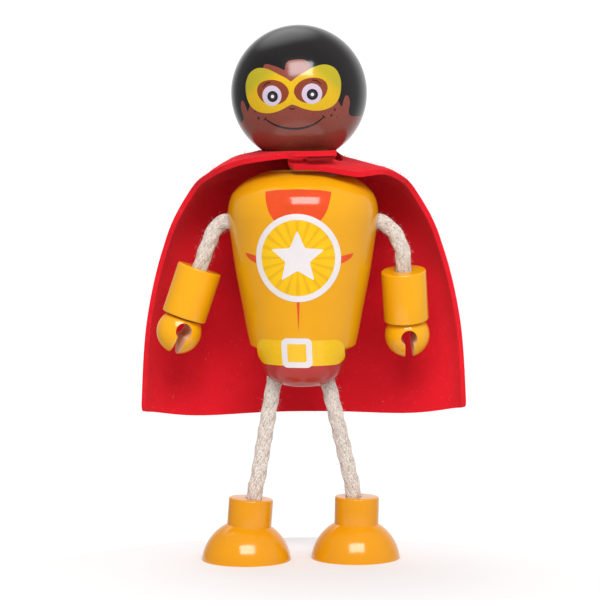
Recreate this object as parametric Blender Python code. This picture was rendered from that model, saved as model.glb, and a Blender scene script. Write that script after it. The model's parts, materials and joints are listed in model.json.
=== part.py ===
"""A bendy doll: a turned wooden head, body, cuffs, hands and feet, wired cotton cord limbs and a felt cape.

Metres, +Z up. The doll faces -Y and its left side is at +X. The origin is on the floor between the feet.
Run it with blender --background --python part.py, or from Blender's text editor.
"""
import math

import bmesh
import bpy
from mathutils import Matrix, Vector

# Clearances. Glued pieces keep FIT all round, and a piece lies SEAT off the one that it rests on.
FIT = 0.00025
SEAT = 0.0003
OVERRUN = 0.004

# The doll stands this far in front of the origin, because the cape reaches further back than the body reaches
# forward.
AXIS_Y = -0.0009

# Cord and the wire inside it
CORD_RADIUS = 0.0020
WIRE_RADIUS = 0.0005
CORD_END_GAP = 0.0006
BEND_MARGIN_DEG = 5
RIM_SPARE = 0.00015
RIM_MERGE_SHARE = 0.98

# Head: a ball on a dowel
HEAD_RADIUS = 0.0150
HEAD_BORE_DEPTH = 0.0080
HEAD_LEAN_DEG = -3
HEAD_TURN_DEG = -7
NECK_GAP = 0.0020
DOWEL_RADIUS = 0.0030
DOWEL_IN_BODY = 0.0090

# Body: a turned block, widest at the chest. The outline runs from the bottom's centre to the top's edge:
# the radius as a share of the chest's, the height as a share of the whole.
CHEST_RADIUS = 0.01670
BODY_BOTTOM_Z = 0.0388
BODY_HEIGHT = 0.0482
BODY_OUTLINE_SHARES = (
    (0.300, 0.012), (0.430, 0.036), (0.520, 0.070), (0.570, 0.108), (0.600, 0.148), (0.618, 0.176),
    (0.700, 0.196), (0.716, 0.214), (0.806, 0.374), (0.892, 0.528), (0.958, 0.681), (0.990, 0.760),
    (1.000, 0.800), (0.988, 0.842), (0.943, 0.888), (0.874, 0.918), (0.754, 0.953), (0.611, 0.979),
    (0.449, 0.995), (0.300, 1.000),
)
ARM_BORE_DEPTH = 0.0090
LEG_BORE_DEPTH = 0.0120

# Cuffs and hands. A hand is a ball with a flat top, a spigot, a cross hole and a slot below it.
CUFF_RADIUS = 0.0050
CUFF_LENGTH = 0.0114
EDGE_ROUND = 0.0003
HAND_RADIUS = 0.0050
HAND_TOP_HEIGHT = 0.0031
HAND_GAP = 0.0003
SPIGOT_RADIUS = 0.0020
SPIGOT_LENGTH = 0.0042
GRIP_RADIUS = 0.0018
GRIP_RISE = {"right": 0.0007, "left": 0.0003}
GRIP_SLOT = 0.00195
HAND_TURN_DEG = {"right": 14, "left": 3}

# Feet: a ball cut off just above its middle, with a stem. The ball's centre lies under the floor.
FOOT_RADIUS = 0.0100
FOOT_CUT = 0.0010
STEM_RADIUS = 0.00495
STEM_TOP_Z = 0.0138
FOOT_BORE_DEPTH = 0.0090
FOOT_PLACE = {"right": (-0.01265, -0.0006), "left": (0.01180, 0.0018)}
FOOT_LEAN_DEG = {"right": 4.2, "left": 1.2}

# Cord routes, from the end in the body's bore to the end in the cuff or foot. The last two points of an arm
# are the cuff's mouth and the cord's end in it.
ARM_ROUTE = {
    "right": (
        (-0.0076, 0, 0.0756), (-0.0160, 0, 0.0756), (-0.0183, 0, 0.0751), (-0.0196, 0, 0.0737),
        (-0.0204, 0, 0.0720), (-0.0213, 0, 0.0698), (-0.0221, 0, 0.0676), (-0.0229, 0, 0.0652),
        (-0.0248, 0, 0.0595),
    ),
    "left": (
        (0.0076, 0, 0.0756), (0.0160, 0, 0.0756), (0.0180, 0, 0.0751), (0.0196, -0.0002, 0.0738),
        (0.0208, -0.0004, 0.0721), (0.0217, -0.0006, 0.0701), (0.0222, -0.0005, 0.0677),
        (0.0223, 0, 0.0647), (0.0227, 0.0011, 0.0588),
    ),
}
LEG_ROUTE = {
    "right": (
        (-0.00470, 0, 0.0508), (-0.00645, 0, 0.0398), (-0.00735, 0, 0.0345), (-0.00870, 0, 0.0265),
        (-0.01000, -0.0003, 0.0186), (-0.01075, -0.0004, 0.0152), (-0.01200, -0.0006, 0.0054),
    ),
    "left": (
        (0.00300, 0, 0.0508), (0.00555, 0, 0.0398), (0.00680, 0.0002, 0.0345), (0.00870, 0.0008, 0.0265),
        (0.01050, 0.0014, 0.0186), (0.01115, 0.0016, 0.0154), (0.01210, 0.0018, 0.0054),
    ),
}

# Joints, as lengths of cord: arms from the body's side, legs from its underside, ankles above the stem.
SHOULDER_OUT = 0.0021
SHOULDER_TO_BEND = 0.0040
HIP_OUT = 0.0028
HIP_TO_THIGH = 0.0052
THIGH_TO_KNEE = 0.0072
ANKLE_UP = 0.0026
FREE_ANGLE_DEG = {"swing": 40, "raise": 78, "hip": 32, "thigh": 90, "knee": 80, "ankle": 40}

# Cape: one sheet of felt, laid round the neck and over the shoulders. Each level runs round the doll, and the
# levels go from the neckline to the hem. A level says how far out its side lies, as a share of the half
# width, how far back its back lies, as a share of the whole way back, how far down its side and its back lie,
# as shares of the drop, and where it ends, in degrees from the back.
FELT = 0.0012
CAPE_HALF_WIDTH = 0.0374
CAPE_BEHIND_CHEST = 0.0017
CAPE_UNDER_HEAD = 0.00056
CAPE_DROP = 0.0606
CAPE_ROUNDNESS = 2.5
CAPE_FRONT_SHARE = -0.4
CAPE_WAVE = 0.0008
CAPE_WAVES = 5
HEM_TILT = 0.0005
HEM_SWAY = 0.0002
CAPE_LEVEL_SHARES = (
    (0.232, 0.470, 0.006, 0.004, 200),
    (0.300, 0.600, 0.040, 0.014, 198),
    (0.424, 0.800, 0.056, 0.040, 121),
    (0.545, 0.945, 0.086, 0.090, 98),
    (0.660, 0.992, 0.150, 0.160, 85),
    (0.842, 1.000, 0.345, 0.355, 74),
    (0.964, 0.990, 0.640, 0.655, 73),
    (1.008, 0.965, 0.970, 1.000, 72),
)
CAPE_ROWS = (0, 0.5, 1, 1.15, 1.35, 1.65, 2, 2.5, 3, 3.5, 4, 4.5, 5.2, 6.1, 7)
CAPE_COLUMNS = 34
CAPE_PROBE_DEG = 1
CAPE_PROBE_LEVEL = 0.02

# The two ends of the cape's top edge are straps. The right one lies over the left one, with a patch on each.
STRAP_EXTRA_DEG = 16
STRAP_FROM_DEG = 118
STRAP_LAP = 0.0027
STRAP_RISE = {"right": 0.0011, "left": 0.0001}
SHOULDER_FROM_DEG = 40
SHOULDER_LEVEL = 1.3
SHOULDER_LEVELS = 2
SHOULDER_RISE = {"right": 0.0016, "left": -0.0004}
NECKLINE_RISE = {"right": -0.0004, "left": -0.0010}
NECK_DIP = {"right": 0, "left": 0.0013}
NECK_DIP_DEG = (50, 155)
NECK_DIP_EASE_DEG = 42
NECK_DIP_LEVELS = 2
FRONT_SAG = {"right": 0, "left": 0.0012}
FRONT_SAG_OUT_SHARE = 0.5
FRONT_SAG_FROM_DEG = 100
FRONT_SAG_EASE_DEG = 30
FRONT_SAG_LEVELS = (1, 3)
PATCH = 0.0004
PATCH_GAP = 0.00015
PATCH_DEG = (150, 180)
HOOK_DEG = (184, 212)
PATCH_ROW_SHARES = (0.12, 0.30, 0.48)

# Facets
SIDES_BODY = 40
SIDES_SMALL = 32
SIDES_CORD = 12
SIDES_WIRE = 6
CORD_STEP = 0.0011

COLOURS = {
    "black_lacquer": ("2A2529", 0.18, 0.0),
    "yellow_lacquer": ("FBAE17", 0.22, 0.0),
    "body_lacquer": ("F9AC1A", 0.22, 0.0),
    "bare_wood": ("D9B48A", 0.70, 0.0),
    "cotton_cord": ("E8DED2", 0.95, 0.0),
    "soft_iron": ("8C8A86", 0.45, 1.0),
    "red_felt": ("D9202B", 0.95, 0.0),
    "red_tape": ("9C1C24", 0.90, 0.0),
}


def clear_scene():
    for thing in list(bpy.data.objects):
        bpy.data.objects.remove(thing, do_unlink=True)


def material(name):
    """The Principled material of one finish, made once."""
    if name in bpy.data.materials:
        return bpy.data.materials[name]
    colour, roughness, metallic = COLOURS[name]
    made = bpy.data.materials.new(name)
    made.use_nodes = True
    shader = made.node_tree.nodes["Principled BSDF"]
    parts = [int(colour[i:i + 2], 16) / 255 for i in (0, 2, 4)]
    linear = [((c + 0.055) / 1.055) ** 2.4 if c > 0.04045 else c / 12.92 for c in parts]
    shader.inputs["Base Color"].default_value = (*linear, 1)
    shader.inputs["Roughness"].default_value = roughness
    shader.inputs["Metallic"].default_value = metallic
    return made


def empty(name, at, parent=None):
    """A joint's empty, at a place in the doll's own frame."""
    made = bpy.data.objects.new(name, None)
    bpy.context.collection.objects.link(made)
    made["at"] = tuple(at)
    made.parent = parent
    made.location = Vector(at) - Vector(parent["at"]) if parent else Vector(at)
    return made


def hang(name, bm, finish, joint):
    """An object of a mesh that is drawn in the doll's frame, with its origin on its joint's empty."""
    bmesh.ops.recalc_face_normals(bm, faces=bm.faces)
    if bm.calc_volume(signed=True) < 0:
        bmesh.ops.reverse_faces(bm, faces=bm.faces)
    mesh = bpy.data.meshes.new(name)
    bm.to_mesh(mesh)
    bm.free()
    mesh.transform(Matrix.Translation(-Vector(joint["at"])))
    mesh.shade_smooth()
    mesh.set_sharp_from_angle(angle=math.radians(35))
    mesh.materials.append(material(finish))
    made = bpy.data.objects.new(name, mesh)
    bpy.context.collection.objects.link(made)
    made.parent = joint
    return made


def skin(rings, looped=False):
    """A mesh over rings of points. A ring of one point is a pole. A looped skin joins its last ring to the
    first."""
    bm = bmesh.new()
    rows = [[bm.verts.new(point) for point in ring] for ring in rings]
    pairs = list(zip(rows, rows[1:]))
    if looped:
        pairs.append((rows[-1], rows[0]))
    for low, high in pairs:
        count = max(len(low), len(high))
        for i in range(count):
            j = (i + 1) % count
            corners = [low[k % len(low)] for k in (i, j)] + [high[k % len(high)] for k in (j, i)]
            bm.faces.new(tuple(dict.fromkeys(corners)))
    if not looped:
        for end in (rows[0], rows[-1]):
            if len(end) > 1:
                bm.faces.new(end)
    return bm


def turned(outline, sides, looped=False):
    """A lathe-turned mesh round Z, from points (radius, height)."""
    rings = []
    for radius, height in outline:
        if radius == 0:
            rings.append([Vector((0, 0, height))])
            continue
        angles = [math.tau * i / sides for i in range(sides)]
        rings.append([Vector((radius * math.cos(a), radius * math.sin(a), height)) for a in angles])
    return skin(rings, looped)


def arc(radius, centre, start_deg, end_deg, steps):
    """Points (radius, height) on a circle round (0, centre), angles from the level upwards."""
    angles = [math.radians(start_deg + (end_deg - start_deg) * i / steps) for i in range(steps + 1)]
    return [(radius * math.cos(a), centre + radius * math.sin(a)) for a in angles]


def aim(axis, at):
    """The matrix that takes +Z to axis and the origin to at, keeping -Y to the front."""
    up = Vector(axis).normalized()
    side = Vector((0, -1, 0)).cross(up).normalized()
    front = side.cross(up)
    turn = Matrix((side, -front, up)).transposed().to_4x4()
    return Matrix.Translation(at) @ turn


def cut(target, name, bm, matrix, joint):
    """Takes a closed mesh out of target."""
    bm.transform(matrix)
    cutter = hang(name, bm, "bare_wood", joint)
    cutter.hide_render = True
    cutter.display_type = "WIRE"
    boolean = target.modifiers.new(name, "BOOLEAN")
    boolean.operation = "DIFFERENCE"
    boolean.solver = "EXACT"
    boolean.object = cutter


def rod(radius, low, high, sides):
    return turned(((0, low), (radius, low), (radius, high), (0, high)), sides)


class Route:
    """A smooth line through points, measured along its length. It runs on straight past both ends."""

    def __init__(self, points, steps=12):
        ends = [Vector(p) for p in points]
        ends = [ends[0] * 2 - ends[1]] + ends + [ends[-1] * 2 - ends[-2]]
        self.points = []
        for a, b, c, d in zip(ends, ends[1:], ends[2:], ends[3:]):
            for i in range(steps):
                t = i / steps
                middle = b * 2 + (c - a) * t + (a * 2 - b * 5 + c * 4 - d) * t * t
                self.points.append((middle + (b * 3 - a - c * 3 + d) * t ** 3) / 2)
        self.points.append(ends[-2])
        self.lengths = [0]
        for a, b in zip(self.points, self.points[1:]):
            self.lengths.append(self.lengths[-1] + (b - a).length)
        self.total = self.lengths[-1]

    def at(self, s):
        """The point and the direction at length s."""
        middles = [(a + b) / 2 for a, b in zip(self.lengths, self.lengths[1:])]
        k = min(range(len(middles)), key=lambda i: abs(middles[i] - s))
        a, b = self.points[k], self.points[k + 1]
        share = (s - self.lengths[k]) / (self.lengths[k + 1] - self.lengths[k])
        before, after = self.points[max(k - 1, 0)], self.points[min(k + 2, len(self.points) - 1)]
        return a.lerp(b, share), (after - before).normalized()

    def where(self, passed):
        """The first length at which passed(point) is true."""
        return next(s for s, point in zip(self.lengths, self.points) if passed(point))


def ring(centre, direction, radius, sides):
    """A ring of points round a line, starting on its -Y side."""
    front = Vector((0, -1, 0))
    front = (front - direction * front.dot(direction)).normalized()
    side = direction.cross(front)
    angles = [math.tau * i / sides for i in range(sides)]
    return [centre + (front * math.cos(a) + side * math.sin(a)) * radius for a in angles]


def cup_rim(free_deg):
    """How far past its pivot a cord's cup starts, so that it turns freely through an angle."""
    cup = CORD_RADIUS + SEAT
    bend = math.radians(free_deg + BEND_MARGIN_DEG)
    needed = (CORD_RADIUS * (1 - math.cos(bend)) + RIM_SPARE) / math.sin(bend)
    return max(needed, math.sqrt(cup ** 2 - CORD_RADIUS ** 2))


def cord(name, route, start, end, joint, cup_deg=None, ball=False):
    """A length of cord with the wire's bore through it. Its start is flat, or a cup round the pivot there.
    Its end is flat, or a ball round the pivot there, which fits the next length's cup."""
    bore = WIRE_RADIUS + FIT
    outer, first = [], start
    pivot, direction = route.at(start)
    if cup_deg is None:
        outer.append(ring(pivot, direction, bore, SIDES_CORD))
        outer.append(ring(pivot, direction, CORD_RADIUS, SIDES_CORD))
    else:
        cup, rim = CORD_RADIUS + SEAT, cup_rim(cup_deg)
        edge = math.sqrt(max(cup ** 2 - rim ** 2, bore ** 2))
        for share in (0, 0.5, 1):
            radius = bore + (edge - bore) * share
            depth = max(rim, math.sqrt(cup ** 2 - radius ** 2))
            if radius > bore or share == 0:
                outer.append(ring(pivot + direction * depth, direction, radius, SIDES_CORD))
        if edge < CORD_RADIUS * RIM_MERGE_SHARE:
            outer.append(ring(pivot + direction * rim, direction, CORD_RADIUS, SIDES_CORD))
        first = start + rim
    count = max(1, round((end - first) / CORD_STEP)) if name.count("arm") else 1
    along = [first + (end - first) * i / count for i in range(1, count)]
    outer += [ring(*route.at(s), CORD_RADIUS, SIDES_CORD) for s in along]
    pivot, direction = route.at(end)
    outer.append(ring(pivot, direction, CORD_RADIUS, SIDES_CORD))
    if ball:
        for degrees in (30, 55, 90 - math.degrees(math.asin(bore / CORD_RADIUS))):
            up = math.radians(degrees)
            centre = pivot + direction * CORD_RADIUS * math.sin(up)
            outer.append(ring(centre, direction, CORD_RADIUS * math.cos(up), SIDES_CORD))
    else:
        outer.append(ring(pivot, direction, bore, SIDES_CORD))
    inner = [ring(*route.at(s), bore, SIDES_CORD) for s in reversed(along)]
    return hang(name, skin(outer + inner, looped=True), "cotton_cord", joint)


def wire(name, route, start, end, joint):
    """A length of the wire in the cord."""
    count = max(1, round((end - start) / CORD_STEP)) if name.count("arm") else 1
    along = [start + (end - start) * i / count for i in range(count + 1)]
    return hang(name, skin([ring(*route.at(s), WIRE_RADIUS, SIDES_WIRE) for s in along]), "soft_iron", joint)


def limb_piece(name, route, start, end, joint, cup_deg=None, ball=False):
    """A length of cord and the wire in it."""
    cord(name + "_cord", route, start, end, joint, cup_deg, ball)
    first = start + (CORD_RADIUS + SEAT if cup_deg else 0) + CORD_END_GAP
    last = end + (CORD_RADIUS if ball else 0) - CORD_END_GAP
    wire(name + "_wire", route, first, last, joint)


def body_radius(height):
    """The body's outer radius at a height above the floor."""
    share = (height - BODY_BOTTOM_Z) / BODY_HEIGHT
    for (r0, h0), (r1, h1) in zip(BODY_OUTLINE_SHARES, BODY_OUTLINE_SHARES[1:]):
        if h0 <= share <= h1:
            return CHEST_RADIUS * (r0 + (r1 - r0) * (share - h0) / (h1 - h0))
    return 0


def make_body(doll):
    outline = [(0, BODY_BOTTOM_Z)]
    outline += [(CHEST_RADIUS * r, BODY_BOTTOM_Z + BODY_HEIGHT * h) for r, h in BODY_OUTLINE_SHARES]
    outline.append((0, BODY_BOTTOM_Z + BODY_HEIGHT))
    return hang("body", turned(outline, SIDES_BODY), "body_lacquer", doll)


def make_head(doll, body):
    """The dowel leans a little to the doll's right, and the head on it is turned a little that way too."""
    top = Vector((0, 0, BODY_BOTTOM_Z + BODY_HEIGHT))
    lean = Matrix.Translation(top) @ Matrix.Rotation(math.radians(HEAD_LEAN_DEG), 4, "Y")
    neck = empty("head_turn", top, doll)
    bore = DOWEL_RADIUS + FIT
    cut(body, "cut_neck_bore", rod(bore, -DOWEL_IN_BODY - SEAT, OVERRUN, SIDES_SMALL), lean, doll)
    dowel_top = NECK_GAP + HEAD_BORE_DEPTH - SEAT
    dowel = rod(DOWEL_RADIUS, -DOWEL_IN_BODY, dowel_top, SIDES_SMALL)
    dowel.transform(lean)
    hang("neck_dowel", dowel, "bare_wood", doll)
    centre = NECK_GAP + HEAD_RADIUS
    start = math.degrees(math.acos(bore / HEAD_RADIUS))
    outline = [(0, NECK_GAP + HEAD_BORE_DEPTH), (bore, NECK_GAP + HEAD_BORE_DEPTH)]
    outline += arc(HEAD_RADIUS, centre, -start, 90, 16)[:-1]
    outline.append((0, centre + HEAD_RADIUS))
    head = turned(outline, SIDES_BODY)
    head.transform(lean @ Matrix.Rotation(math.radians(HEAD_TURN_DEG), 4, "Z"))
    hang("head", head, "black_lacquer", neck)


def make_arm(side, doll, body):
    """An arm swings forward at the body's face, lifts sideways at the bend below it, and its hand turns."""
    route = Route(ARM_ROUTE[side])
    face = route.where(lambda p: abs(p.x) > body_radius(p.z))
    shoulder, bend = face + SHOULDER_OUT, face + SHOULDER_OUT + SHOULDER_TO_BEND
    start, out = route.at(0)
    hole = rod(CORD_RADIUS + FIT, -SEAT, ARM_BORE_DEPTH + OVERRUN, SIDES_SMALL)
    cut(body, f"cut_{side}_arm_bore", hole, aim(out, start), doll)
    limb_piece(f"{side}_arm_root", route, 0, shoulder, doll, ball=True)
    swing = empty(f"{side}_arm_swing", route.at(shoulder)[0], doll)
    limb_piece(f"{side}_arm_upper", route, shoulder, bend, swing, FREE_ANGLE_DEG["swing"], ball=True)
    lift = empty(f"{side}_arm_raise", route.at(bend)[0], swing)
    limb_piece(f"{side}_arm_lower", route, bend, route.total, lift, FREE_ANGLE_DEG["raise"])

    mouth = Vector(ARM_ROUTE[side][-2])
    down = (Vector(ARM_ROUTE[side][-1]) - mouth).normalized()
    bore, edge = CORD_RADIUS + FIT, EDGE_ROUND
    outline = [(bore, 0), (bore, CUFF_LENGTH), (CUFF_RADIUS - edge, CUFF_LENGTH)]
    outline += [(CUFF_RADIUS, CUFF_LENGTH - edge), (CUFF_RADIUS, edge), (CUFF_RADIUS - edge, 0)]
    foot = mouth + down * CUFF_LENGTH
    cuff = turned(outline, SIDES_SMALL, looped=True)
    cuff.transform(aim(-down, foot))
    hang(f"{side}_cuff", cuff, "yellow_lacquer", lift)
    make_hand(side, down, foot, lift)


def make_hand(side, down, foot, lift):
    """The hand's ball hangs under the cuff by its spigot."""
    centre = foot + down * (HAND_GAP + HAND_TOP_HEIGHT)
    turn = empty(f"{side}_hand_turn", centre, lift)
    top_deg = math.degrees(math.asin(HAND_TOP_HEIGHT / HAND_RADIUS))
    outline = [(0, -HAND_RADIUS)] + arc(HAND_RADIUS, 0, -90, top_deg, 12)[1:]
    tip = HAND_TOP_HEIGHT + HAND_GAP + SPIGOT_LENGTH
    spigot = SPIGOT_RADIUS
    outline += [(spigot, HAND_TOP_HEIGHT), (spigot, tip - EDGE_ROUND), (spigot - EDGE_ROUND, tip), (0, tip)]
    place = aim(-down, centre) @ Matrix.Rotation(math.radians(HAND_TURN_DEG[side]), 4, "Z")
    ball = turned(outline, SIDES_SMALL)
    ball.transform(place)
    hand = hang(f"{side}_hand", ball, "yellow_lacquer", turn)
    reach = HAND_RADIUS + OVERRUN
    half = math.degrees(math.asin(GRIP_SLOT / 2 / GRIP_RADIUS))
    keyhole = arc(GRIP_RADIUS, GRIP_RISE[side], -90 + half, 270 - half, 22)
    keyhole += [(-GRIP_SLOT / 2, -reach), (GRIP_SLOT / 2, -reach)]
    grip = skin([[Vector((x, y, z)) for x, z in keyhole] for y in (-reach, reach)])
    cut(hand, f"cut_{side}_grip", grip, place, turn)


def make_leg(side, doll, body):
    """A leg spreads and swings at the hip, and bends at the knee and the ankle."""
    route = Route(LEG_ROUTE[side])
    start, out = route.at(0)
    under = route.where(lambda p: p.z < BODY_BOTTOM_Z + BODY_HEIGHT / 2 and abs(p.x) > body_radius(p.z))
    hip = under + HIP_OUT
    thigh, knee = hip + HIP_TO_THIGH, hip + HIP_TO_THIGH + THIGH_TO_KNEE
    stem = route.where(lambda p: p.z < STEM_TOP_Z)
    ankle = stem - ANKLE_UP
    hole = rod(CORD_RADIUS + FIT, -SEAT, LEG_BORE_DEPTH + OVERRUN, SIDES_SMALL)
    cut(body, f"cut_{side}_leg_bore", hole, aim(out, start), doll)
    limb_piece(f"{side}_leg_root", route, 0, hip, doll, ball=True)
    splay = empty(f"{side}_hip_splay", route.at(hip)[0], doll)
    limb_piece(f"{side}_leg_hip", route, hip, thigh, splay, FREE_ANGLE_DEG["hip"], ball=True)
    swing = empty(f"{side}_hip_swing", route.at(thigh)[0], splay)
    limb_piece(f"{side}_leg_thigh", route, thigh, knee, swing, FREE_ANGLE_DEG["thigh"], ball=True)
    bend = empty(f"{side}_knee", route.at(knee)[0], swing)
    limb_piece(f"{side}_leg_shin", route, knee, ankle, bend, FREE_ANGLE_DEG["knee"], ball=True)
    tilt = empty(f"{side}_ankle", route.at(ankle)[0], bend)
    limb_piece(f"{side}_leg_end", route, ankle, route.total, tilt, FREE_ANGLE_DEG["ankle"])
    make_foot(side, route, tilt)


def make_foot(side, route, tilt):
    """The ball and stem lean together, and the sole is sawn level."""
    x, y = FOOT_PLACE[side]
    stem_deg = math.degrees(math.acos(STEM_RADIUS / FOOT_RADIUS))
    top = STEM_TOP_Z + FOOT_CUT
    outline = [(0, -FOOT_RADIUS)] + arc(FOOT_RADIUS, 0, -90, stem_deg, 18)[1:]
    outline += [(STEM_RADIUS, top - EDGE_ROUND), (STEM_RADIUS - EDGE_ROUND, top), (0, top)]
    lean = Matrix.Rotation(math.radians(FOOT_LEAN_DEG[side]), 4, "Y")
    bm = turned(outline, SIDES_BODY)
    bm.transform(Matrix.Translation((x, y, -FOOT_CUT)) @ lean)
    everything = bm.verts[:] + bm.edges[:] + bm.faces[:]
    floor = {"plane_co": (0, 0, 0), "plane_no": (0, 0, 1), "clear_inner": True}
    sawn = bmesh.ops.bisect_plane(bm, geom=everything, **floor)
    rim = [e for e in sawn["geom_cut"] if isinstance(e, bmesh.types.BMEdge)]
    bmesh.ops.contextual_create(bm, geom=rim)
    foot = hang(f"{side}_foot", bm, "yellow_lacquer", tilt)
    end, down = route.at(route.total)
    hole = rod(CORD_RADIUS + FIT, -SEAT, FOOT_BORE_DEPTH + OVERRUN, SIDES_SMALL)
    cut(foot, f"cut_{side}_foot_bore", hole, aim(-down, end), tilt)


def ease(t):
    """From 0 to 1 with a level start and end."""
    t = min(1, max(0, t))
    return t * t * (3 - 2 * t)


def cape_top():
    """The height of the neckline, which lies just under the head."""
    side = CAPE_LEVEL_SHARES[0][0] * CAPE_HALF_WIDTH
    head_centre = BODY_BOTTOM_Z + BODY_HEIGHT + NECK_GAP + HEAD_RADIUS
    return head_centre - math.sqrt(HEAD_RADIUS ** 2 - side ** 2) - CAPE_UNDER_HEAD


def cape_level(w):
    """The five values of a level, smooth between the ones in the table."""
    last = len(CAPE_LEVEL_SHARES) - 1
    k = min(int(w), last - 1)
    t = w - k
    a, b = CAPE_LEVEL_SHARES[max(k - 1, 0)], CAPE_LEVEL_SHARES[k]
    c, d = CAPE_LEVEL_SHARES[k + 1], CAPE_LEVEL_SHARES[min(k + 2, last)]
    smooth = []
    for i in range(len(b)):
        curve = 2 * b[i] + (c[i] - a[i]) * t + (2 * a[i] - 5 * b[i] + 4 * c[i] - d[i]) * t * t
        smooth.append((curve + (3 * b[i] - a[i] - 3 * c[i] + d[i]) * t ** 3) / 2)
    smooth[-1] = b[-1] + (c[-1] - b[-1]) * t ** (0.5 if k == 1 else 1)
    return smooth


def cape_point(degrees, w):
    """A point of the felt's middle surface, at an angle from the back (+ to the doll's left) on level w."""
    out, back, side_drop, back_drop, _ = cape_level(w)
    side = "left" if degrees > 0 else "right"
    lap = ease((abs(degrees) - STRAP_FROM_DEG) / (180 - STRAP_FROM_DEG))
    shoulder = ease((abs(degrees) - SHOULDER_FROM_DEG) / SHOULDER_FROM_DEG)
    seam = shoulder * ease(1 - abs(w - SHOULDER_LEVEL) / SHOULDER_LEVELS) * ease(2 * w)
    neckline = shoulder * ease(1 - w)
    dip_low, dip_high = NECK_DIP_DEG
    dip = ease((abs(degrees) - dip_low) / NECK_DIP_EASE_DEG)
    dip *= ease((dip_high - abs(degrees)) / NECK_DIP_EASE_DEG) * max(0, 1 - w / NECK_DIP_LEVELS)
    sag_low, sag_high = FRONT_SAG_LEVELS
    sag = FRONT_SAG[side] * ease((abs(degrees) - FRONT_SAG_FROM_DEG) / FRONT_SAG_EASE_DEG)
    sag *= ease(w - sag_low) * ease(sag_high - w)
    turn = math.radians(degrees)
    power = 2 / (2 + (CAPE_ROUNDNESS - 2) * min(1, w / 4))
    c, s = math.cos(turn), math.sin(turn)
    width = CAPE_HALF_WIDTH * out
    depth = (CHEST_RADIUS + CAPE_BEHIND_CHEST) * back
    if c < 0:
        depth += (width - depth) * c * c
    front_share = 1 if c > 0 else CAPE_FRONT_SHARE
    drop = CAPE_DROP * (side_drop + (back_drop - side_drop) * c * c * front_share)
    hanging = max(0, (w - 4) / 3) ** 1.5
    wave = CAPE_WAVE * hanging * math.cos(CAPE_WAVES * turn)
    lifted = STRAP_LAP * lap if side == "right" else 0
    x = math.copysign(abs(s) ** power, s) * (width + lifted) + HEM_SWAY * hanging
    y = math.copysign(abs(c) ** power, c) * (depth + lifted + sag * FRONT_SAG_OUT_SHARE) + wave
    rise = lap * min(1, w) * STRAP_RISE[side] + seam * SHOULDER_RISE[side]
    rise += neckline * NECKLINE_RISE[side] - dip * NECK_DIP[side] - sag
    z = cape_top() - drop + wave / 2 + rise + HEM_TILT * s * hanging
    return Vector((x, y, z))


def cape_shell(angles, rows, low, high):
    """A closed shell that follows the cape, from low to high outside the felt's middle surface. Angles is a
    function of the level."""
    bm = bmesh.new()
    sides = {low: [], high: []}
    for w in rows:
        for line in sides.values():
            line.append([])
        for degrees in angles(w):
            point = cape_point(degrees, w)
            around, over = CAPE_PROBE_DEG, CAPE_PROBE_LEVEL
            along = cape_point(degrees + around, w) - cape_point(degrees - around, w)
            down = cape_point(degrees, w + over) - cape_point(degrees, max(0, w - over))
            outwards = along.cross(down).normalized()
            for offset, lines in sides.items():
                lines[-1].append(bm.verts.new(point + outwards * offset))
    inner, outer = sides[low], sides[high]
    for lines in (inner, outer):
        for upper, lower in zip(lines, lines[1:]):
            for i in range(len(upper) - 1):
                bm.faces.new((upper[i], upper[i + 1], lower[i + 1], lower[i]))
    rims = [list(zip(*edge)) for edge in ((inner[0], outer[0]), (inner[-1], outer[-1]))]
    rims += [[(a[k], b[k]) for a, b in zip(inner, outer)] for k in (0, -1)]
    for rim in rims:
        for (a, b), (c, d) in zip(rim, rim[1:]):
            bm.faces.new((a, b, d, c))
    return bm


def make_cape(doll):
    """The felt, and the hook and loop patches where its straps lie over each other in front of the neck."""
    def whole(w):
        end = cape_level(w)[-1]
        extra = STRAP_EXTRA_DEG * max(0, 1 - max(0, w - 1) * 6)
        low, high = -end - extra, end
        return [low + (high - low) * i / CAPE_COLUMNS for i in range(CAPE_COLUMNS + 1)]

    hang("cape", cape_shell(whole, CAPE_ROWS, -FELT / 2, FELT / 2), "red_felt", doll)
    near = FELT / 2 + PATCH_GAP

    def span(low, high):
        return lambda w: [low + (high - low) * i / 6 for i in range(7)]

    loops = cape_shell(span(*PATCH_DEG), PATCH_ROW_SHARES, near, near + PATCH)
    hang("loop_patch", loops, "red_tape", doll)
    low, high = HOOK_DEG
    hooks = cape_shell(span(-high, -low), PATCH_ROW_SHARES, -near - PATCH, -near)
    hang("hook_patch", hooks, "red_tape", doll)


def main():
    clear_scene()
    doll = empty("doll", (0, 0, 0))
    doll.location.y = AXIS_Y
    body = make_body(doll)
    make_head(doll, body)
    for side in ("right", "left"):
        make_arm(side, doll, body)
        make_leg(side, doll, body)
    make_cape(doll)
    bpy.context.view_layer.update()
    for thing in bpy.data.objects:
        if thing.type == "EMPTY":
            print(thing.name, [round(v, 5) for v in thing.matrix_world.translation])


main()
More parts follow.
